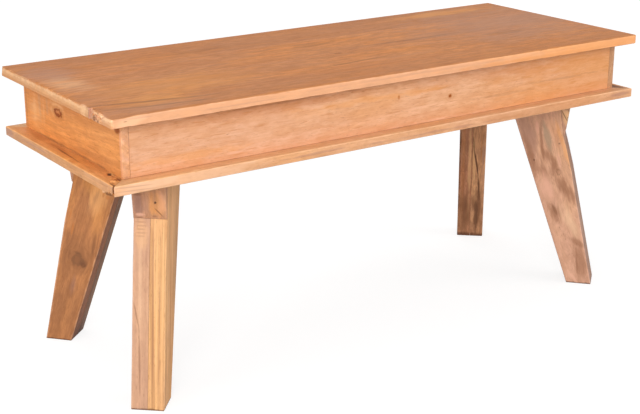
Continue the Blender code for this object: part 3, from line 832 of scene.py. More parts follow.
# top: four boards whose figure runs on nearly unbroken
topWood = {
    **oiledWood,
    "light": (0.77, 0.31, 0.102),
    "dark": (0.40, 0.145, 0.048),
    "gold": (0.75, 0.272, 0.066),
    "pink": (0.60, 0.262, 0.117),
    "rippleAmount": 0.5,
    "bandAmount": 0.3,
    "fleckAmount": 0.55,
    "sideTint": (1.16, 1.08, 1.06),
    "endTint": (0.97, 0.94, 0.84),
    "wear": 0.003,
}
# the left ends of the boards are ragged, and the front board is a little short with a broken arris
raggedEnd = chip((-0.4975, 0.03, 0.450), (0.0035, 0.30, 0.0035), (0.0013, 0, -0.0009), 2.4)
topBoards = {
    "top_board_1": {
        "seed": 3.0,
        "heart": (-0.15, 0.045, 0.03),
        "endTint": (1.12, 1.12, 1.04),
        "chips": [
            chip((-0.4975, -0.1925, 0.450), (0.040, 0.030, 0.014), (0.0004, 0.0004, -0.0014), 0.1),
            chip((-0.4975, -0.1240, 0.4425), (0.010, 0.010, 0.06), (0.0026, 0, 0), 0.3),
            chip((-0.4975, -0.1420, 0.4480), (0.006, 0.024, 0.006), (0.0022, 0, -0.0008), 1.0),
            chip((-0.4975, -0.1500, 0.4410), (0.005, 0.016, 0.0035), (0.0020, 0, 0), 1.4),
        ],
    },
    "top_board_2": {"seed": 7.4, "heart": (-0.07, 0.06, -0.02), "chips": [raggedEnd]},
    "top_board_3": {"seed": 9.1, "heart": (0.04, 0.05, 0.03), "chips": [raggedEnd]},
    "top_board_4": {"seed": 12.6, "heart": (0.14, 0.06, -0.02), "chips": [raggedEnd]},
}
topStains = [
    stain("mauve", 0.50, 0.40, 0.03, 0.66, 0.40, feather=0.95),
    stain("mauve", 0.50, -0.46, 0.10, 0.12, 0.14, feather=0.9),
    stain("cream", 0.44, 0.0, 0.0, 3.0, 0.2, feather=0.1, ragged=0.0, onSide=True),
    stain("mauve", 0.45, -0.465, 0.0035, 0.06, 0.0030, tilt=-0.03, onSide=True, ragged=0.6),
    stain("mauve", 0.35, -0.30, -0.0010, 0.22, 0.0030, onSide=True, ragged=0.8),
    stain("cream", 0.35, -0.470, 0.0, 0.054, 0.020, onSide=True),
    stain("umber", 0.60, -0.477, 0.0008, 0.008, 0.0018, onSide=True, ragged=0.3),
    stain("mauve", 0.25, -0.4975, -0.172, 0.008, 0.040, ragged=0.5),
    stain("cream", 0.30, -0.46, 0.02, 0.09, 0.14, feather=0.9),
    stain("rust", 0.22, 0.28, -0.004, 0.50, 0.008, onSide=True),
    stain("honey", 0.50, 0.42, 0.0, 0.80, 0.2, onSide=True, feather=0.95),
    stain("mauve", 0.30, 0.05, 0.002, 0.60, 0.004, onSide=True, ragged=0.9),
    stain("rust", 0.40, -0.4975, -0.0045, 0.0070, 0.0070, onSide=True, ragged=0.5),
    stain("cream", 0.50, -0.4975, 0.0035, 0.0070, 0.0060, onSide=True, ragged=1.1),
    stain("cream", 0.50, -0.4960, -0.106, 0.008, 0.030, feather=0.8, ragged=0.5),
    stain("mauve", 0.80, -0.4960, -0.1250, 0.009, 0.012, feather=0.3, ragged=0.3),
    stain("honey", 0.50, -0.400, -0.130, 0.18, 0.10, feather=0.95),
    stain("honey", 0.40, -0.33, -0.06, 0.34, 0.16, feather=0.95),
    stain("mauve", 0.55, -0.4975, -0.142, 0.006, 0.036, ragged=0.5),
    stain("umber", 0.75, -0.4975, -0.139, 0.004, 0.006, ragged=1.2),
    stain("umber", 0.75, -0.4975, -0.150, 0.004, 0.008, ragged=1.2),
    stain("mauve", 0.35, -0.42, -0.165, 0.20, 0.05, feather=0.9),
    stain("rust", 0.22, -0.29, -0.055, 0.30, 0.06, feather=0.9),
    stain("rust", 0.30, -0.27, 0.045, 0.26, 0.05, tilt=-0.1),
    stain("rust", 0.25, -0.05, -0.120, 0.40, 0.05),
    stain("honey", 0.55, 0.34, 0.155, 0.30, 0.05),
    stain("umber", 0.50, -0.43, -0.130, 0.16, 0.014, tilt=-0.2, bow=0.004, ragged=0.4),
    stain("umber", 0.45, -0.40, -0.162, 0.20, 0.012, tilt=-0.14, bow=0.004, ragged=0.4),
    stain("umber", 0.30, -0.36, -0.144, 0.18, 0.010, tilt=-0.14, bow=0.004, ragged=0.4),
    stain("umber", 0.40, 0.14, -0.004, 0.26, 0.008, bow=0.004, ragged=0.8),
    stain("umber", 0.40, -0.01, -0.089, 0.16, 0.008, tilt=0.1, ragged=0.8),
    stain("umber", 0.25, -0.007, 0.055, 0.10, 0.04),
    stain("umber", 0.25, 0.33, -0.045, 0.12, 0.04),
    stain("umber", 0.22, -0.20, 0.12, 0.16, 0.03),
]
topMiddle, topHalf = nodeBox(*topBoards)
for name, board in topBoards.items():
    board["middle"] = topMiddle
    board["half"] = topHalf
    board["frame"] = grainFrame(right, up)
    board["stainsAndShade"] = topStains
    board["knots"] = [knot(-0.014, -0.025, 0.0035, stretch=1.4, core=0.5, rim=0.5)]
    dress(wornBoard(name, board), boardWood("wood_" + name, topWood, board))
topNames = list(topBoards)
for first, second in zip(topNames, topNames[1:]):
    glueLines.append(seamGlue(first, second, 1))
print("top dressed")


# box under the top
boxWood = {
    **oiledWood,
    "light": (0.87, 0.51, 0.315),
    "dark": (0.58, 0.25, 0.095),
    "gold": (0.84, 0.42, 0.20),
    "pink": (0.82, 0.48, 0.33),
    "fleckAmount": 0.6,
    "wear": 0.0015,
}
boxEndWood = {
    **boxWood,
    "light": (0.90, 0.37, 0.112),
    "dark": (0.54, 0.19, 0.05),
    "gold": (0.86, 0.325, 0.083),
    "pink": (0.85, 0.385, 0.135),
    "ringAmount": 0.4,
    "endTint": (1.03, 1.30, 2.15),
}
boxBoards = {
    "box_side_front": {
        "finish": boxWood,
        "facing": -back,
        "seed": 21.0,
        "heart": (0.03, 0.07, 0.02),
        "stainsAndShade": [
            stain("rust", 0.34, -0.25, 0.026, 0.50, 0.022, ragged=0.8),
            stain("rust", 0.30, 0.25, 0.020, 0.52, 0.026, ragged=0.8),
            # painted shade: these broad stains darken the right end of the front, where the light falls off
            stain("rust", 0.24, 0.46, 0.0, 0.60, 0.30, feather=0.95),
            stain("honey", 0.34, 0.42, 0.0, 0.60, 0.30, feather=0.95),
            stain("honey", 0.35, -0.05, 0.014, 0.40, 0.014, ragged=0.8),
            stain("honey", 0.30, -0.38, -0.022, 0.26, 0.018, ragged=0.8),
            stain("umber", 0.20, 0.33, -0.006, 0.18, 0.005, ragged=1.3),
            stain("umber", 0.18, 0.20, -0.016, 0.20, 0.005, ragged=1.3),
            stain("umber", 0.25, -0.22, 0.032, 0.30, 0.004, ragged=0.9),
            stain("rust", 0.12, -0.4590, 0.0, 0.0050, 0.12, ragged=1.2),
            stain("rust", 0.9, 0.0013, 0.0095, 0.006, 0.009),
        ],
        "knots": [knot(0.104, -0.003, 0.0027, stretch=1.2, core=0.95, rim=0.6, heart="ember", ring="rust")],
    },
    "box_side_back": {"finish": boxWood, "facing": back, "seed": 24.0, "heart": (0.02, 0.07, 0.03)},
    "box_end_left": {
        "finish": boxEndWood,
        "facing": -right,
        "seed": 31.0,
        "heart": (0.03, 0.05, 0.1),
        "stainsAndShade": [
            stain("umber", 0.22, 0.08, -0.030, 0.26, 0.030, feather=0.9),
            stain("umber", 0.45, 0.0, -0.038, 0.40, 0.006, ragged=0.8),
            stain("blush", 0.45, 0.1640, 0.0, 0.0080, 0.14, ragged=0.2),
            # painted shadow under the top's overhang, at the front top corner of the end board
            stain("ember", 0.90, 0.1550, 0.0290, 0.025, 0.018, feather=0.6, ragged=0.2),
            stain("umber", 0.30, -0.1600, 0.0, 0.0080, 0.14, ragged=0.2),
            stain("moss", 0.30, -0.108, 0.006, 0.018, 0.060, feather=0.9),
            stain("moss", 0.25, -0.080, 0.012, 0.014, 0.050, feather=0.9),
            stain("straw", 0.25, -0.128, 0.000, 0.016, 0.070, feather=0.9),
            stain("straw", 0.20, -0.094, 0.000, 0.012, 0.060, feather=0.9),
            stain("straw", 0.28, -0.1250, -0.0060, 0.070, 0.070, feather=0.9),
            stain("straw", 0.45, -0.0450, 0.0180, 0.080, 0.036, feather=0.9),
            stain("rust", 0.90, -0.0400, 0.0095, 0.022, 0.0100, feather=0.3, ragged=0.2),
        ],
        "knots": [knot(-0.040, 0.0095, 0.0056, stretch=2.0, core=0.3, rim=0.95, ring="ember")],
        "lateStains": [
            stain("ember", 0.95, -0.0400, 0.0068, 0.016, 0.0056, feather=0.5, ragged=0.2),
            stain("ember", 0.90, -0.0510, 0.0120, 0.011, 0.0054, feather=0.5, ragged=0.2),
            stain("ember", 0.75, -0.0280, 0.0105, 0.012, 0.0040, ragged=0.3),
        ],
    },
    "box_end_right": {
        "finish": boxEndWood,
        "facing": right,
        "seed": 36.0,
        "heart": (0.02, 0.07, 0.05),
        "endTint": (0.76, 1.0, 1.7),
    },
}
boxMiddle, boxHalf = nodeBox(*boxBoards)
for name, board in boxBoards.items():
    board["middle"] = boxMiddle
    board["frame"] = grainFrame(up.cross(board["facing"]), board["facing"])
    board["half"] = Vector([abs(boxHalf.dot(board["frame"].col[axis])) for axis in range(3)])
    dress(wornBoard(name, board), boardWood("wood_" + name, board["finish"], board))
for first in ("box_side_front", "box_side_back"):
    for second in ("box_end_left", "box_end_right"):
        glueLines.append(seamGlue(first, second, 0))
print("box dressed")


# ledge frame round the foot of the box
ledgeWood = {
    **oiledWood,
    "light": (0.95, 0.58, 0.32),
    "dark": (0.64, 0.32, 0.14),
    "gold": (0.95, 0.52, 0.235),
    "pink": (0.88, 0.54, 0.34),
    "sideTint": (0.93, 0.86, 0.86),
    "endTint": (0.78, 0.74, 0.74),
}
ledgeLeftWood = {
    **ledgeWood,
    "light": (1.0, 0.455, 0.145),
    "dark": (0.60, 0.25, 0.08),
    "gold": (1.0, 0.43, 0.115),
    "pink": (0.94, 0.47, 0.19),
    "sideTint": (0.78, 0.86, 1.2),
}
ledgeBoards = {
    "ledge_front": {
        "finish": ledgeWood,
        "along": right,
        "seed": 41.0,
        "heart": (0.0, 0.07, 0.03),
        "stainsAndShade": [
            stain("cream", 0.55, -0.40, 0.0, 0.34, 0.030, onSide=True, ragged=0.6),
            stain("cream", 0.70, -0.45, 0.0, 0.12, 0.030, onSide=True),
            stain("mauve", 0.40, -0.47, 0.003, 0.08, 0.003, tilt=-0.06, onSide=True, ragged=0.3),
            stain("mauve", 0.35, -0.46, -0.003, 0.10, 0.003, tilt=-0.06, onSide=True, ragged=0.3),
            stain("rust", 0.32, 0.32, 0.0, 0.60, 0.040, onSide=True, feather=0.9),
            stain("mauve", 0.45, 0.05, -0.002, 0.30, 0.005, onSide=True, ragged=0.9),
            stain("mauve", 0.45, -0.17, 0.000, 0.16, 0.005, onSide=True, ragged=0.7),
            stain("mauve", 0.60, 0.470, 0.001, 0.07, 0.012, onSide=True),
        ],
    },
    "ledge_back": {"finish": ledgeWood, "along": right, "seed": 44.0, "heart": (0.0, 0.07, 0.03)},
    "ledge_left": {
        "finish": ledgeLeftWood,
        "along": back,
        "seed": 47.0,
        "heart": (0.45, 0.07, 0.03),
        "stainsAndShade": [
            stain("rust", 0.60, 0.01, 0.482, 0.13, 0.012, tilt=-0.06, bow=0.003),
            stain("umber", 0.65, -0.01, 0.484, 0.12, 0.004, tilt=-0.05),
            stain("rust", 0.45, 0.10, 0.480, 0.12, 0.020, ragged=0.8),
            stain("rust", 0.40, -0.09, 0.476, 0.09, 0.010, ragged=0.8),
            stain("bark", 1.0, -0.132, 0.4755, 0.013, 0.009, ragged=0.1),
            stain("rust", 0.85, -0.158, 0.477, 0.034, 0.016, ragged=0.6),
            stain("umber", 0.80, -0.160, 0.475, 0.020, 0.008, ragged=0.9),
            stain("bark", 0.80, -0.168, 0.488, 0.008, 0.005, ragged=0.3),
            stain("umber", 0.85, -0.1875, 0.002, 0.0060, 0.016, onSide=True, feather=0.5, ragged=0.2),
            stain("umber", 0.85, -0.180, 0.4942, 0.0220, 0.0045, feather=0.5, ragged=0.4),
            stain("bark", 0.90, -0.178, -0.0070, 0.022, 0.006, onSide=True, ragged=0.6),
            stain("mauve", 0.40, 0.175, 0.0, 0.04, 0.03, onSide=True),
            stain("mauve", 0.35, 0.08, 0.001, 0.16, 0.004, onSide=True, ragged=0.8),
        ],
        # the mitre stands open, its lower corner has broken out, and small knots have left holes
        "chips": [
            chip((-0.4975, -0.190, 0.348), (0.010, 0.006, 0.03), (0, 0.0035, 0), 0.2),
            chip((-0.4975, -0.180, 0.3403), (0.007, 0.016, 0.006), (0.0035, 0, 0.0035), 1.2),
            chip((-0.475, -0.135, 0.3553), (0.0055, 0.0065, 0.004), (0, 0, -0.005), 0.3),
            chip((-0.488, -0.168, 0.3553), (0.0045, 0.0050, 0.004), (0, 0, -0.0025), 0.6),
            chip((-0.476, -0.160, 0.3553), (0.009, 0.013, 0.004), (0, 0, -0.0016), 1.6),
        ],
    },
    "ledge_right": {
        "finish": ledgeWood,
        "along": back,
        "seed": 51.0,
        "heart": (0.45, 0.07, 0.03),
        # painted shadow: a dark band on the ledge top along the box's right end
        "stainsAndShade": [stain("umber", 0.90, -0.12, -0.479, 0.22, 0.034, feather=0.4, ragged=0.4)],
    },
}
ledgeMiddle, ledgeHalf = nodeBox(*ledgeBoards)
for name, board in ledgeBoards.items():
    board["middle"] = ledgeMiddle
    board["frame"] = grainFrame(board["along"], up)
    board["half"] = Vector([abs(ledgeHalf.dot(board["frame"].col[axis])) for axis in range(3)])
    dress(wornBoard(name, board), boardWood("wood_" + name, board["finish"], board))
print("ledge dressed")


# legs: the end board of each looks to the bench's end, the side board to its long side
legWood = {
    **oiledWood,
    "light": (0.76, 0.43, 0.24),
    "dark": (0.38, 0.18, 0.095),
    "gold": (0.80, 0.43, 0.20),
    "pink": (0.62, 0.35, 0.23),
    "ringAmount": 0.4,
    "bandAmount": 0.35,
    "rippleAmount": 0.45,
}
tanWood = {
    **legWood,
    "light": (0.79, 0.465, 0.285),
    "dark": (0.48, 0.26, 0.16),
    "gold": (0.77, 0.43, 0.245),
    "ringAmount": 0.25,
    "bandAmount": 0.3,
    "wander": 0.006,
}
stripedWood = {
    **legWood,
    "light": (0.90, 0.51, 0.235),
    "dark": (0.48, 0.235, 0.10),
    "gold": (0.88, 0.47, 0.18),
    "pink": (0.80, 0.43, 0.22),
    "ringWidth": 0.005,
    "ringAmount": 0.65,
    "wander": 0.003,
    "wanderLength": 0.5,
    "rippleAmount": 0.15,
}
orangeWood = {
    **legWood,
    "light": (0.76, 0.325, 0.12),
    "dark": (0.30, 0.12, 0.05),
    "gold": (0.76, 0.315, 0.095),
    "pink": (0.56, 0.235, 0.10),
    "wander": 0.02,
    "ringAmount": 0.3,
    "fibreAmount": 0.4,
    "rippleAmount": 0.5,
    # narrow sides darkened: painted shade on the leg's inner edge under the bench
    "sideTint": (0.62, 0.55, 0.58),
    # arrises strongly lightened: a painted highlight, with wear
    "wornTint": (1.45, 1.75, 2.3),
    "wear": 0.003,
}
smokyWood = {
    **legWood,
    "light": (0.95, 0.545, 0.37),
    "dark": (0.50, 0.25, 0.15),
    "gold": (0.95, 0.545, 0.31),
    "pink": (0.82, 0.46, 0.33),
    "ringWidth": 0.005,
    "bandAmount": 0.4,
    "ringAmount": 0.25,
    "wander": 0.03,
    "wanderLength": 0.16,
}
walnutWood = {
    **legWood,
    "light": (0.92, 0.48, 0.26),
    "dark": (0.22, 0.09, 0.045),
    "gold": (0.94, 0.47, 0.22),
    "pink": (0.66, 0.26, 0.14),
    "bandAmount": 0.4,
    "ringAmount": 0.3,
    "wander": 0.006,
}
legBoards = {
    "front_left": {
        "end": {
            "finish": tanWood,
            "seed": 51.0,
            "heart": (-0.03, 0.09, 0.02),
            "stainsAndShade": [
                stain("mauve", 0.22, -0.060, -0.0210, 0.260, 0.008, onSide=True, ragged=0.6),
                stain("smoke", 0.20, -0.020, -0.0050, 0.220, 0.005, onSide=True, ragged=0.6),
                stain("cream", 0.25, 0.000, -0.0130, 0.200, 0.007, onSide=True, ragged=0.6),
                stain("umber", 0.50, -0.046, -0.0180, 0.050, 0.0034, tilt=-0.205, onSide=True),
                stain("umber", 0.45, -0.116, -0.0129, 0.130, 0.0034, tilt=-0.027, onSide=True),
                stain("bark", 0.60, 0.088, 0.0012, 0.026, 0.0020, onSide=True, ragged=0.3),
                stain("umber", 0.40, -0.005, 0.0002, 0.32, 0.0018, onSide=True, ragged=0.3),
                stain("straw", 0.30, 0.0750, -0.013, 0.060, 0.030, onSide=True),
                stain("smoke", 0.40, 0.0925, -0.014, 0.0026, 0.026, onSide=True, ragged=0.9),
                stain("smoke", 0.35, 0.0872, -0.012, 0.0026, 0.028, onSide=True, ragged=0.9),
                stain("smoke", 0.35, 0.0822, -0.015, 0.0026, 0.022, onSide=True, ragged=0.9),
                stain("smoke", 0.30, 0.0770, -0.013, 0.0026, 0.026, onSide=True, ragged=0.9),
                stain("smoke", 0.25, 0.0722, -0.016, 0.0026, 0.018, onSide=True, ragged=0.9),
            ],
        },
        "side": {
            "finish": stripedWood,
            "seed": 53.6,
            "heart": (-0.02, 0.10, 0.01),
            "stainsAndShade": [
                stain("smoke", 0.60, -0.042, 0.0060, 0.42, 0.0036, tilt=-0.007, onSide=True, ragged=0.3),
                stain("smoke", 0.55, -0.064, 0.0156, 0.32, 0.0026, onSide=True, ragged=0.4),
                stain("straw", 0.60, -0.039, 0.0115, 0.40, 0.0040, tilt=-0.004, onSide=True, ragged=0.3),
                stain("straw", 0.60, -0.039, 0.0200, 0.40, 0.0034, tilt=-0.003, onSide=True, ragged=0.3),
                stain("smoke", 0.60, -0.063, 0.0250, 0.40, 0.0034, onSide=True, ragged=0.3),
                stain("straw", 0.60, -0.015, 0.0200, 0.50, 0.014, tilt=0.095),
                stain("rust", 0.55, -0.017, 0.0015, 0.50, 0.010, tilt=0.096),
                stain("rust", 0.35, -0.039, -0.0150, 0.40, 0.012, tilt=0.07),
                stain("umber", 0.60, -0.049, -0.0340, 0.50, 0.010, tilt=0.073),
                stain("umber", 0.55, 0.125, 0.0440, 0.060, 0.008, tilt=0.121),
                stain("bark", 0.60, 0.111, 0.0409, 0.005, 0.005, ragged=0.2),
                stain("straw", 0.45, 0.090, -0.0100, 0.200, 0.076, tilt=0.03),
                stain("umber", 0.32, 0.070, -0.0220, 0.260, 0.044, feather=0.9),
            ],
        },
    },
    "front_right": {
        "end": {
            "finish": tanWood,
            "seed": 56.3,
            "heart": (0.02, 0.07, 0.03),
            # narrow sides darkened, with a smoky stain on them: painted shade on the leg's edge
            "sideTint": (0.55, 0.55, 0.6),
            "stainsAndShade": [stain("smoke", 0.50, 0.060, 0.0, 0.240, 0.090, onSide=True, feather=0.9)],
        },
        "side": {
            "finish": smokyWood,
            "seed": 58.1,
            "heart": (0.01, 0.04, 0.04),
            # narrow sides darkened: painted shade on the leg's edge
            "sideTint": (0.60, 0.60, 0.65),
            "stainsAndShade": [
                stain("mauve", 0.85, 0.110, 0.0230, 0.140, 0.0340, feather=0.8),
                # painted shade on the narrow sides
                stain("smoke", 0.50, 0.060, 0.0, 0.240, 0.090, onSide=True, feather=0.9),
                stain("moss", 0.70, 0.101, -0.0060, 0.076, 0.0200, tilt=0.05),
                stain("smoke", 0.75, 0.099, 0.0040, 0.090, 0.0090, tilt=-0.15, bow=-0.003, ragged=0.5),
                stain("smoke", 0.70, 0.067, -0.0009, 0.072, 0.0260, tilt=0.35, feather=0.9, ragged=0.8),
                stain("smoke", 0.70, 0.040, -0.0040, 0.056, 0.0290, tilt=-0.1, feather=0.9, ragged=0.8),
                stain("smoke", 0.78, 0.014, -0.0110, 0.062, 0.0320, tilt=0.55, feather=0.9, ragged=0.8),
                stain("smoke", 0.70, -0.008, -0.0240, 0.056, 0.0300, tilt=0.3, feather=0.9, ragged=0.8),
                stain("smoke", 0.68, 0.082, 0.0270, 0.084, 0.0220, tilt=0.05, feather=0.9, ragged=0.8),
                stain("smoke", 0.70, 0.052, 0.0210, 0.074, 0.0260, tilt=0.27, feather=0.9, ragged=0.8),
                stain("honey", 0.45, 0.085, -0.0310, 0.120, 0.0120, tilt=0.06),
                stain("rust", 0.28, 0.105, -0.0220, 0.110, 0.0160, tilt=0.06, feather=0.9),
                stain("blush", 0.55, 0.125, 0.0060, 0.040, 0.0090, tilt=-0.1),
                stain("blush", 0.55, 0.052, -0.0175, 0.040, 0.0090),
                stain("blush", 0.75, 0.010, 0.0140, 0.070, 0.0240, tilt=0.05, ragged=0.5),
                stain("smoke", 0.80, -0.035, 0.0125, 0.060, 0.0260, tilt=0.118, feather=0.9, ragged=0.7),
                stain("umber", 0.45, -0.030, 0.0105, 0.030, 0.0080, tilt=0.2, ragged=0.5),
                stain("cream", 0.50, -0.058, -0.0110, 0.080, 0.0260, tilt=0.175, ragged=0.5),
                stain("smoke", 0.70, -0.100, -0.0165, 0.050, 0.0200, tilt=0.93, feather=0.9, ragged=0.7),
                stain("smoke", 0.60, -0.138, -0.0120, 0.090, 0.0360, feather=0.9, ragged=0.8),
                stain("smoke", 0.65, -0.135, -0.0063, 0.060, 0.0060, tilt=-0.187),
                stain("bark", 0.60, 0.086, -0.0250, 0.005, 0.005, ragged=0.2),
                stain("bark", 0.60, 0.066, 0.0245, 0.006, 0.005, ragged=0.2),
            ],
            "knots": [knot(0.035, -0.0125, 0.0040, stretch=1.4, bend=0.6, core=0.0, rim=0.35)],
        },
    },
    "back_left": {
        "end": {
            "finish": orangeWood,
            "seed": 61.2,
            "heart": (0.01, 0.05, 0.06),
            "stainsAndShade": [
                stain("umber", 0.38, -0.025, 0.0, 0.110, 0.100, feather=0.9),
                stain("umber", 0.25, -0.120, 0.0, 0.140, 0.100, feather=0.9),
                stain("honey", 0.45, 0.070, 0.0180, 0.120, 0.040, tilt=-0.055, feather=0.9),
                stain("honey", 0.50, 0.115, 0.0000, 0.090, 0.036),
                stain("straw", 0.30, 0.085, 0.0120, 0.090, 0.050, feather=0.95),
                stain("rust", 0.55, 0.046, -0.0264, 0.024, 0.005),
                stain("rust", 0.60, 0.021, -0.0181, 0.030, 0.005),
                stain("umber", 0.45, 0.012, 0.0220, 0.044, 0.007),
                stain("umber", 0.40, -0.022, -0.0146, 0.022, 0.005),
                stain("umber", 0.75, -0.0155, -0.0020, 0.0060, 0.018, ragged=0.4),
                stain("umber", 0.85, -0.030, 0.0115, 0.018, 0.018, ragged=0.4),
                stain("bark", 0.60, -0.0325, 0.0110, 0.012, 0.013, ragged=0.4),
                stain("plum", 0.35, -0.070, 0.0033, 0.050, 0.012),
                stain("umber", 0.80, 0.0995, 0.0270, 0.0060, 0.015, ragged=0.9),
                stain("rust", 0.60, 0.0945, 0.0190, 0.0100, 0.004, ragged=0.9),
                stain("rust", 0.50, 0.0930, 0.0270, 0.0080, 0.008, ragged=1.3),
                stain("cream", 0.60, 0.1010, 0.0180, 0.0050, 0.005, ragged=0.9),
                # painted shadow: the narrow sides darken toward the foot
                stain("bark", 0.85, -0.180, 0.0, 0.120, 0.090, onSide=True, feather=0.95, ragged=0.3),
            ],
            "knots": [knot(-0.027, 0.001, 0.0085, stretch=1.0, bend=0.9, core=0.45, rim=0.65, heart="umber")],
        },
        "side": {
            "finish": orangeWood,
            "seed": 63.9,
            "heart": (0.02, 0.07, 0.03),
            # narrow sides darkened, darker still toward the foot: painted shade under the bench
            "sideTint": (0.44, 0.52, 0.72),
            "stainsAndShade": [stain("bark", 0.85, -0.180, 0.0, 0.120, 0.090, onSide=True, feather=0.95, ragged=0.3)],
        },
    },
    "back_right": {
        "end": {
            "finish": walnutWood,
            "seed": 66.4,
            "heart": (0.02, 0.07, 0.03),
            "stainsAndShade": [
                stain("bark", 0.85, 0.054, -0.0011, 0.060, 0.0050, tilt=0.089, onSide=True),
                stain("bark", 0.85, 0.021, -0.0059, 0.060, 0.0050, tilt=0.194, onSide=True),
                stain("bark", 0.85, -0.009, -0.0106, 0.050, 0.0050, tilt=0.105, onSide=True),
                stain("bark", 0.80, -0.051, -0.0139, 0.100, 0.0060, tilt=0.066, onSide=True),
                stain("straw", 0.40, -0.020, -0.0045, 0.260, 0.0060, tilt=0.05, onSide=True, ragged=0.7),
                stain("rust", 0.40, 0.046, -0.0165, 0.100, 0.0040, onSide=True),
                stain("mauve", 0.60, 0.008, -0.0205, 0.140, 0.0050, onSide=True),
                stain("umber", 0.85, -0.105, -0.0140, 0.170, 0.0340, tilt=0.059, onSide=True, feather=0.9),
                stain("bark", 0.45, -0.130, -0.0100, 0.120, 0.0100, onSide=True, ragged=0.8),
                stain("bark", 0.60, 0.000, -0.0245, 0.400, 0.0030, onSide=True),
            ],
        },
        "side": {
            "finish": walnutWood,
            "seed": 69.2,
            "heart": (0.02, 0.07, 0.03),
            "stainsAndShade": [
                stain("rust", 0.30, 0.000, 0.0170, 0.400, 0.0100, onSide=True),
                stain("straw", 0.45, 0.000, 0.0045, 0.300, 0.0080, onSide=True, ragged=0.7),
                stain("umber", 0.75, -0.110, 0.0120, 0.170, 0.0400, onSide=True, feather=0.9),
                stain("bark", 0.70, -0.010, 0.0245, 0.420, 0.0070, onSide=True),
            ],
        },
    },
}


# the leg's grain frame and size, read from the outlines of its head and foot
def legFrame(corner):
    pair = [f"leg_{corner}_side_board", f"leg_{corner}_end_board"]
    across = (nodeBox(pair[0])[0] - nodeBox(pair[1])[0]).normalized()
    spread = across.cross(up)
    points = [vertex.co for name in pair for vertex in nodes[name].data.vertices]
    headZ = max(point.z for point in points)
    ends = []
    for height in (0.0, headZ):
        level = [point for point in points if abs(point.z - height) < 0.0005]
        reaches = [[point.dot(axis) for point in level] for axis in (spread, across)]
        middle = sum((axis * (min(r) + max(r)) / 2 for axis, r in zip((spread, across), reaches)), up * height)
        ends.append((middle, [(max(r) - min(r)) / 2 for r in reaches]))
    (foot, (footHalf, thick)), (head, (headHalf, _)) = ends
    along = head - foot
    lean = along.normalized().z
    return {
        "middle": (foot + head) / 2,
        "frame": grainFrame(along, across),
        "half": Vector((1.0, (footHalf + headHalf) / 2 * lean, thick)),  # its ends aren't worn
        "taper": (headHalf - footHalf) * lean / along.length,
    }


# the glue fills the gap between the two boards of a leg
def legGlue(corner, leg):
    setting = {"acrossShare": 0.985, "alongShare": 0.9985, "clearance": 0.00005, "thickness": 0.0002}
    bm = bmesh.new()
    bm.from_mesh(nodes[f"leg_{corner}_side_board"].data)
    bmesh.ops.remove_doubles(bm, verts=bm.verts, dist=0.000001)
    bmesh.ops.dissolve_limit(bm, angle_limit=math.radians(1), verts=bm.verts, edges=bm.edges)
    inward = -leg["frame"].col[2]
    glued = max((face for face in bm.faces if face.normal.dot(inward) > 0.99), key=lambda face: face.calc_area())
    middle = glued.calc_center_median()
    along = leg["frame"].col[0]
    outline = []
    for vertex in glued.verts:
        reach = vertex.co - middle
        lengthwise = along * reach.dot(along)
        point = middle + lengthwise * setting["alongShare"] + (reach - lengthwise) * setting["acrossShare"]
        outline.append(point + inward * setting["clearance"])
    bm.free()
    count = len(outline)
    points = outline + [point + inward * setting["thickness"] for point in outline]
    rim = [(i, i + count, (i + 1) % count + count, (i + 1) % count) for i in range(count)]
    faces = [tuple(reversed(range(count))), tuple(range(count, 2 * count)), *rim]
    return addGlue("glue_line_" + corner, points, faces)


for corner, pair in legBoards.items():
    leg = legFrame(corner)
    glueLines.append(legGlue(corner, leg))
    for side, board in pair.items():
        name = f"leg_{corner}_{side}_board"
        # painted contact shadow at the feet, taller at the back right foot
        board.update(leg, soil=0.009 if corner == "back_right" else 0.003)
        dress(wornBoard(name, board), boardWood("wood_" + name, board["finish"], board))
print("legs dressed")


# wedges under the ledge, sawn from offcuts with the grain askew
wedgeWood = {
    **legWood,
    "light": (0.78, 0.41, 0.23),
    "dark": (0.38, 0.18, 0.10),
    "gold": (0.76, 0.38, 0.17),
    "pink": (0.60, 0.32, 0.22),
    "ringWidth": 0.004,
    "ringAmount": 0.45,
}
wedgeStains = {
    "front_left": [
        stain("plum", 0.48, 0.121, -0.0170, 0.050, 0.020, onSide=True),
        stain("mauve", 0.30, 0.119, -0.0050, 0.040, 0.012, onSide=True),
        stain("honey", 0.45, 0.119, 0.0040, 0.040, 0.012, onSide=True),
        stain("blush", 0.50, 0.124, 0.0180, 0.040, 0.014, onSide=True),
        stain("honey", 0.38, 0.120, 0.0150, 0.050, 0.020, onSide=True),
        stain("umber", 0.65, 0.107, 0.0138, 0.018, 0.0034, tilt=-0.961, onSide=True, ragged=0.3),
        stain("blush", 0.60, 0.1035, -0.0145, 0.0060, 0.020, onSide=True, ragged=0.3),
        stain("umber", 0.40, 0.0985, -0.0145, 0.0030, 0.022, onSide=True, ragged=0.3),
        stain("umber", 0.45, 0.1015, 0.0065, 0.0040, 0.009, onSide=True, ragged=0.3),
        stain("umber", 0.50, 0.1330, -0.0158, 0.0060, 0.020, onSide=True, ragged=0.5),
    ],
    "front_right": [
        stain("straw", 0.75, 0.125, -0.0500, 0.060, 0.0200),
        stain("umber", 0.70, 0.128, -0.0460, 0.040, 0.0030, tilt=0.25, ragged=0.4),
        stain("umber", 0.65, 0.120, -0.0510, 0.034, 0.0026, tilt=0.25, ragged=0.4),
        stain("bark", 0.60, 0.136, -0.0550, 0.020, 0.0026, tilt=0.30, ragged=0.4),
    ],
}
wedgeSeeds = {"front_left": 81.0, "front_right": 84.2, "back_left": 87.5, "back_right": 89.9}
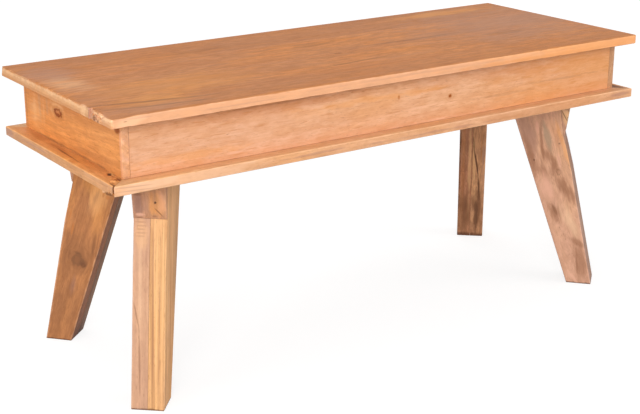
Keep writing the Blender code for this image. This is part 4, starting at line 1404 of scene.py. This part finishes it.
for corner, seed in wedgeSeeds.items():
    leg = legFrame(corner)
    name = "wedge_" + corner
    board = {
        "seed": seed,
        "heart": (0.01, 0.05, 0.1),
        "middle": nodeBox(name)[0],
        "frame": leg["frame"] @ Matrix.Rotation(math.radians(35), 3, "Z"),
        "markFrame": (leg["middle"], leg["frame"]),
        "half": leg["half"],
        "taper": leg["taper"],
        "stainsAndShade": wedgeStains.get(corner, ()),
    }
    dress(wornBoard(name, board), boardWood("wood_" + name, wedgeWood, board))
print("wedges dressed")


# corner blocks and the cross rail, planed and left without oil
planedWood = {
    **oiledWood,
    "light": (0.56, 0.34, 0.19),
    "dark": (0.38, 0.21, 0.11),
    "gold": (0.56, 0.32, 0.15),
    "pink": (0.52, 0.31, 0.19),
    "roughness": 0.72,
    "bump": 0.7,
}
hiddenBoards = {
    "corner_block_front_left": (right, 91.0),
    "corner_block_front_right": (right, 93.1),
    "corner_block_back_left": (right, 95.3),
    "corner_block_back_right": (right, 97.7),
    "cross_rail": (back, 99.2),
}
for name, (along, seed) in hiddenBoards.items():
    middle, half = nodeBox(name)
    frameOfBoard = grainFrame(along, up)
    half = Vector([abs(half.dot(frameOfBoard.col[axis])) for axis in range(3)])
    board = {"seed": seed, "heart": (0.02, 0.07, 0.03), "middle": middle, "frame": frameOfBoard, "half": half}
    dress(nodes[name], boardWood("wood_" + name, planedWood, board))
print("blocks and rail dressed")


# screws, washers, the pins of the wedges and the glue
smallFinishes = {
    "zincSteel": {"color": (0.62, 0.62, 0.60), "stain": (0.46, 0.45, 0.42), "roughness": 0.34, "metallic": 1.0},
    "darkPin": {"color": (0.16, 0.075, 0.035), "stain": (0.07, 0.04, 0.025), "roughness": 0.6, "metallic": 0.6},
    "hideGlue": {"color": (0.36, 0.17, 0.07), "stain": (0.20, 0.085, 0.035), "roughness": 0.5, "metallic": 0.0},
}


def makeBloom():
    tree, given, result = newGroup(
        "bloom",
        [
            ("Position", "Vector", (0, 0, 0)),
            ("Clean", "Color", (0.6, 0.6, 0.6, 1)),
            ("Stained", "Color", (0.4, 0.4, 0.4, 1)),
            ("Roughness", "Float", 0.4),
        ],
        [("Color", "Color"), ("Roughness", "Float"), ("Height", "Float")],
    )
    bloom = ramp(tree, noise(tree, given["Position"], 320.0, 3.0, 0.6).outputs["Fac"], 0.4, 0.65)
    fine = noise(tree, given["Position"], 2600.0, 2.0).outputs["Fac"]
    feed(tree, result["Color"], mixColor(tree, bloom, given["Clean"], given["Stained"]))
    rough = calc(tree, "MULTIPLY_ADD", bloom, 0.18, given["Roughness"])
    feed(tree, result["Roughness"], calc(tree, "MULTIPLY_ADD", fine, 0.1, rough))
    feed(tree, result["Height"], fine)
    return tree


bloomGroup = makeBloom()


def smallFinish(name):
    finish = smallFinishes[name]
    material = bpy.data.materials.new(name)
    material.use_nodes = True
    tree = material.node_tree
    shader = tree.nodes["Principled BSDF"]
    bloom = useGroup(
        tree,
        bloomGroup,
        position=tree.nodes.new("ShaderNodeTexCoord").outputs["Object"],
        clean=(*finish["color"], 1),
        stained=(*finish["stain"], 1),
        roughness=finish["roughness"],
    )
    tree.links.new(bloom["Color"], shader.inputs["Base Color"])
    tree.links.new(bloom["Roughness"], shader.inputs["Roughness"])
    shader.inputs["Metallic"].default_value = finish["metallic"]
    bump = tree.nodes.new("ShaderNodeBump")
    bump.inputs["Strength"].default_value = 0.25
    bump.inputs["Distance"].default_value = 0.00005
    tree.links.new(bloom["Height"], bump.inputs["Height"])
    tree.links.new(bump.outputs[0], shader.inputs["Normal"])
    return material


zincSteel = smallFinish("zincSteel")
darkPin = smallFinish("darkPin")
hideGlue = smallFinish("hideGlue")
for piece in glueLines:
    dress(piece, hideGlue)
for name, node in nodes.items():
    if "screw" in name or "washer" in name:
        dress(node, zincSteel)
    elif "pin" in name:
        dress(node, darkPin)
print("fastenings dressed")


def saveSizes():
    bpy.context.view_layer.update()


saveSizes()
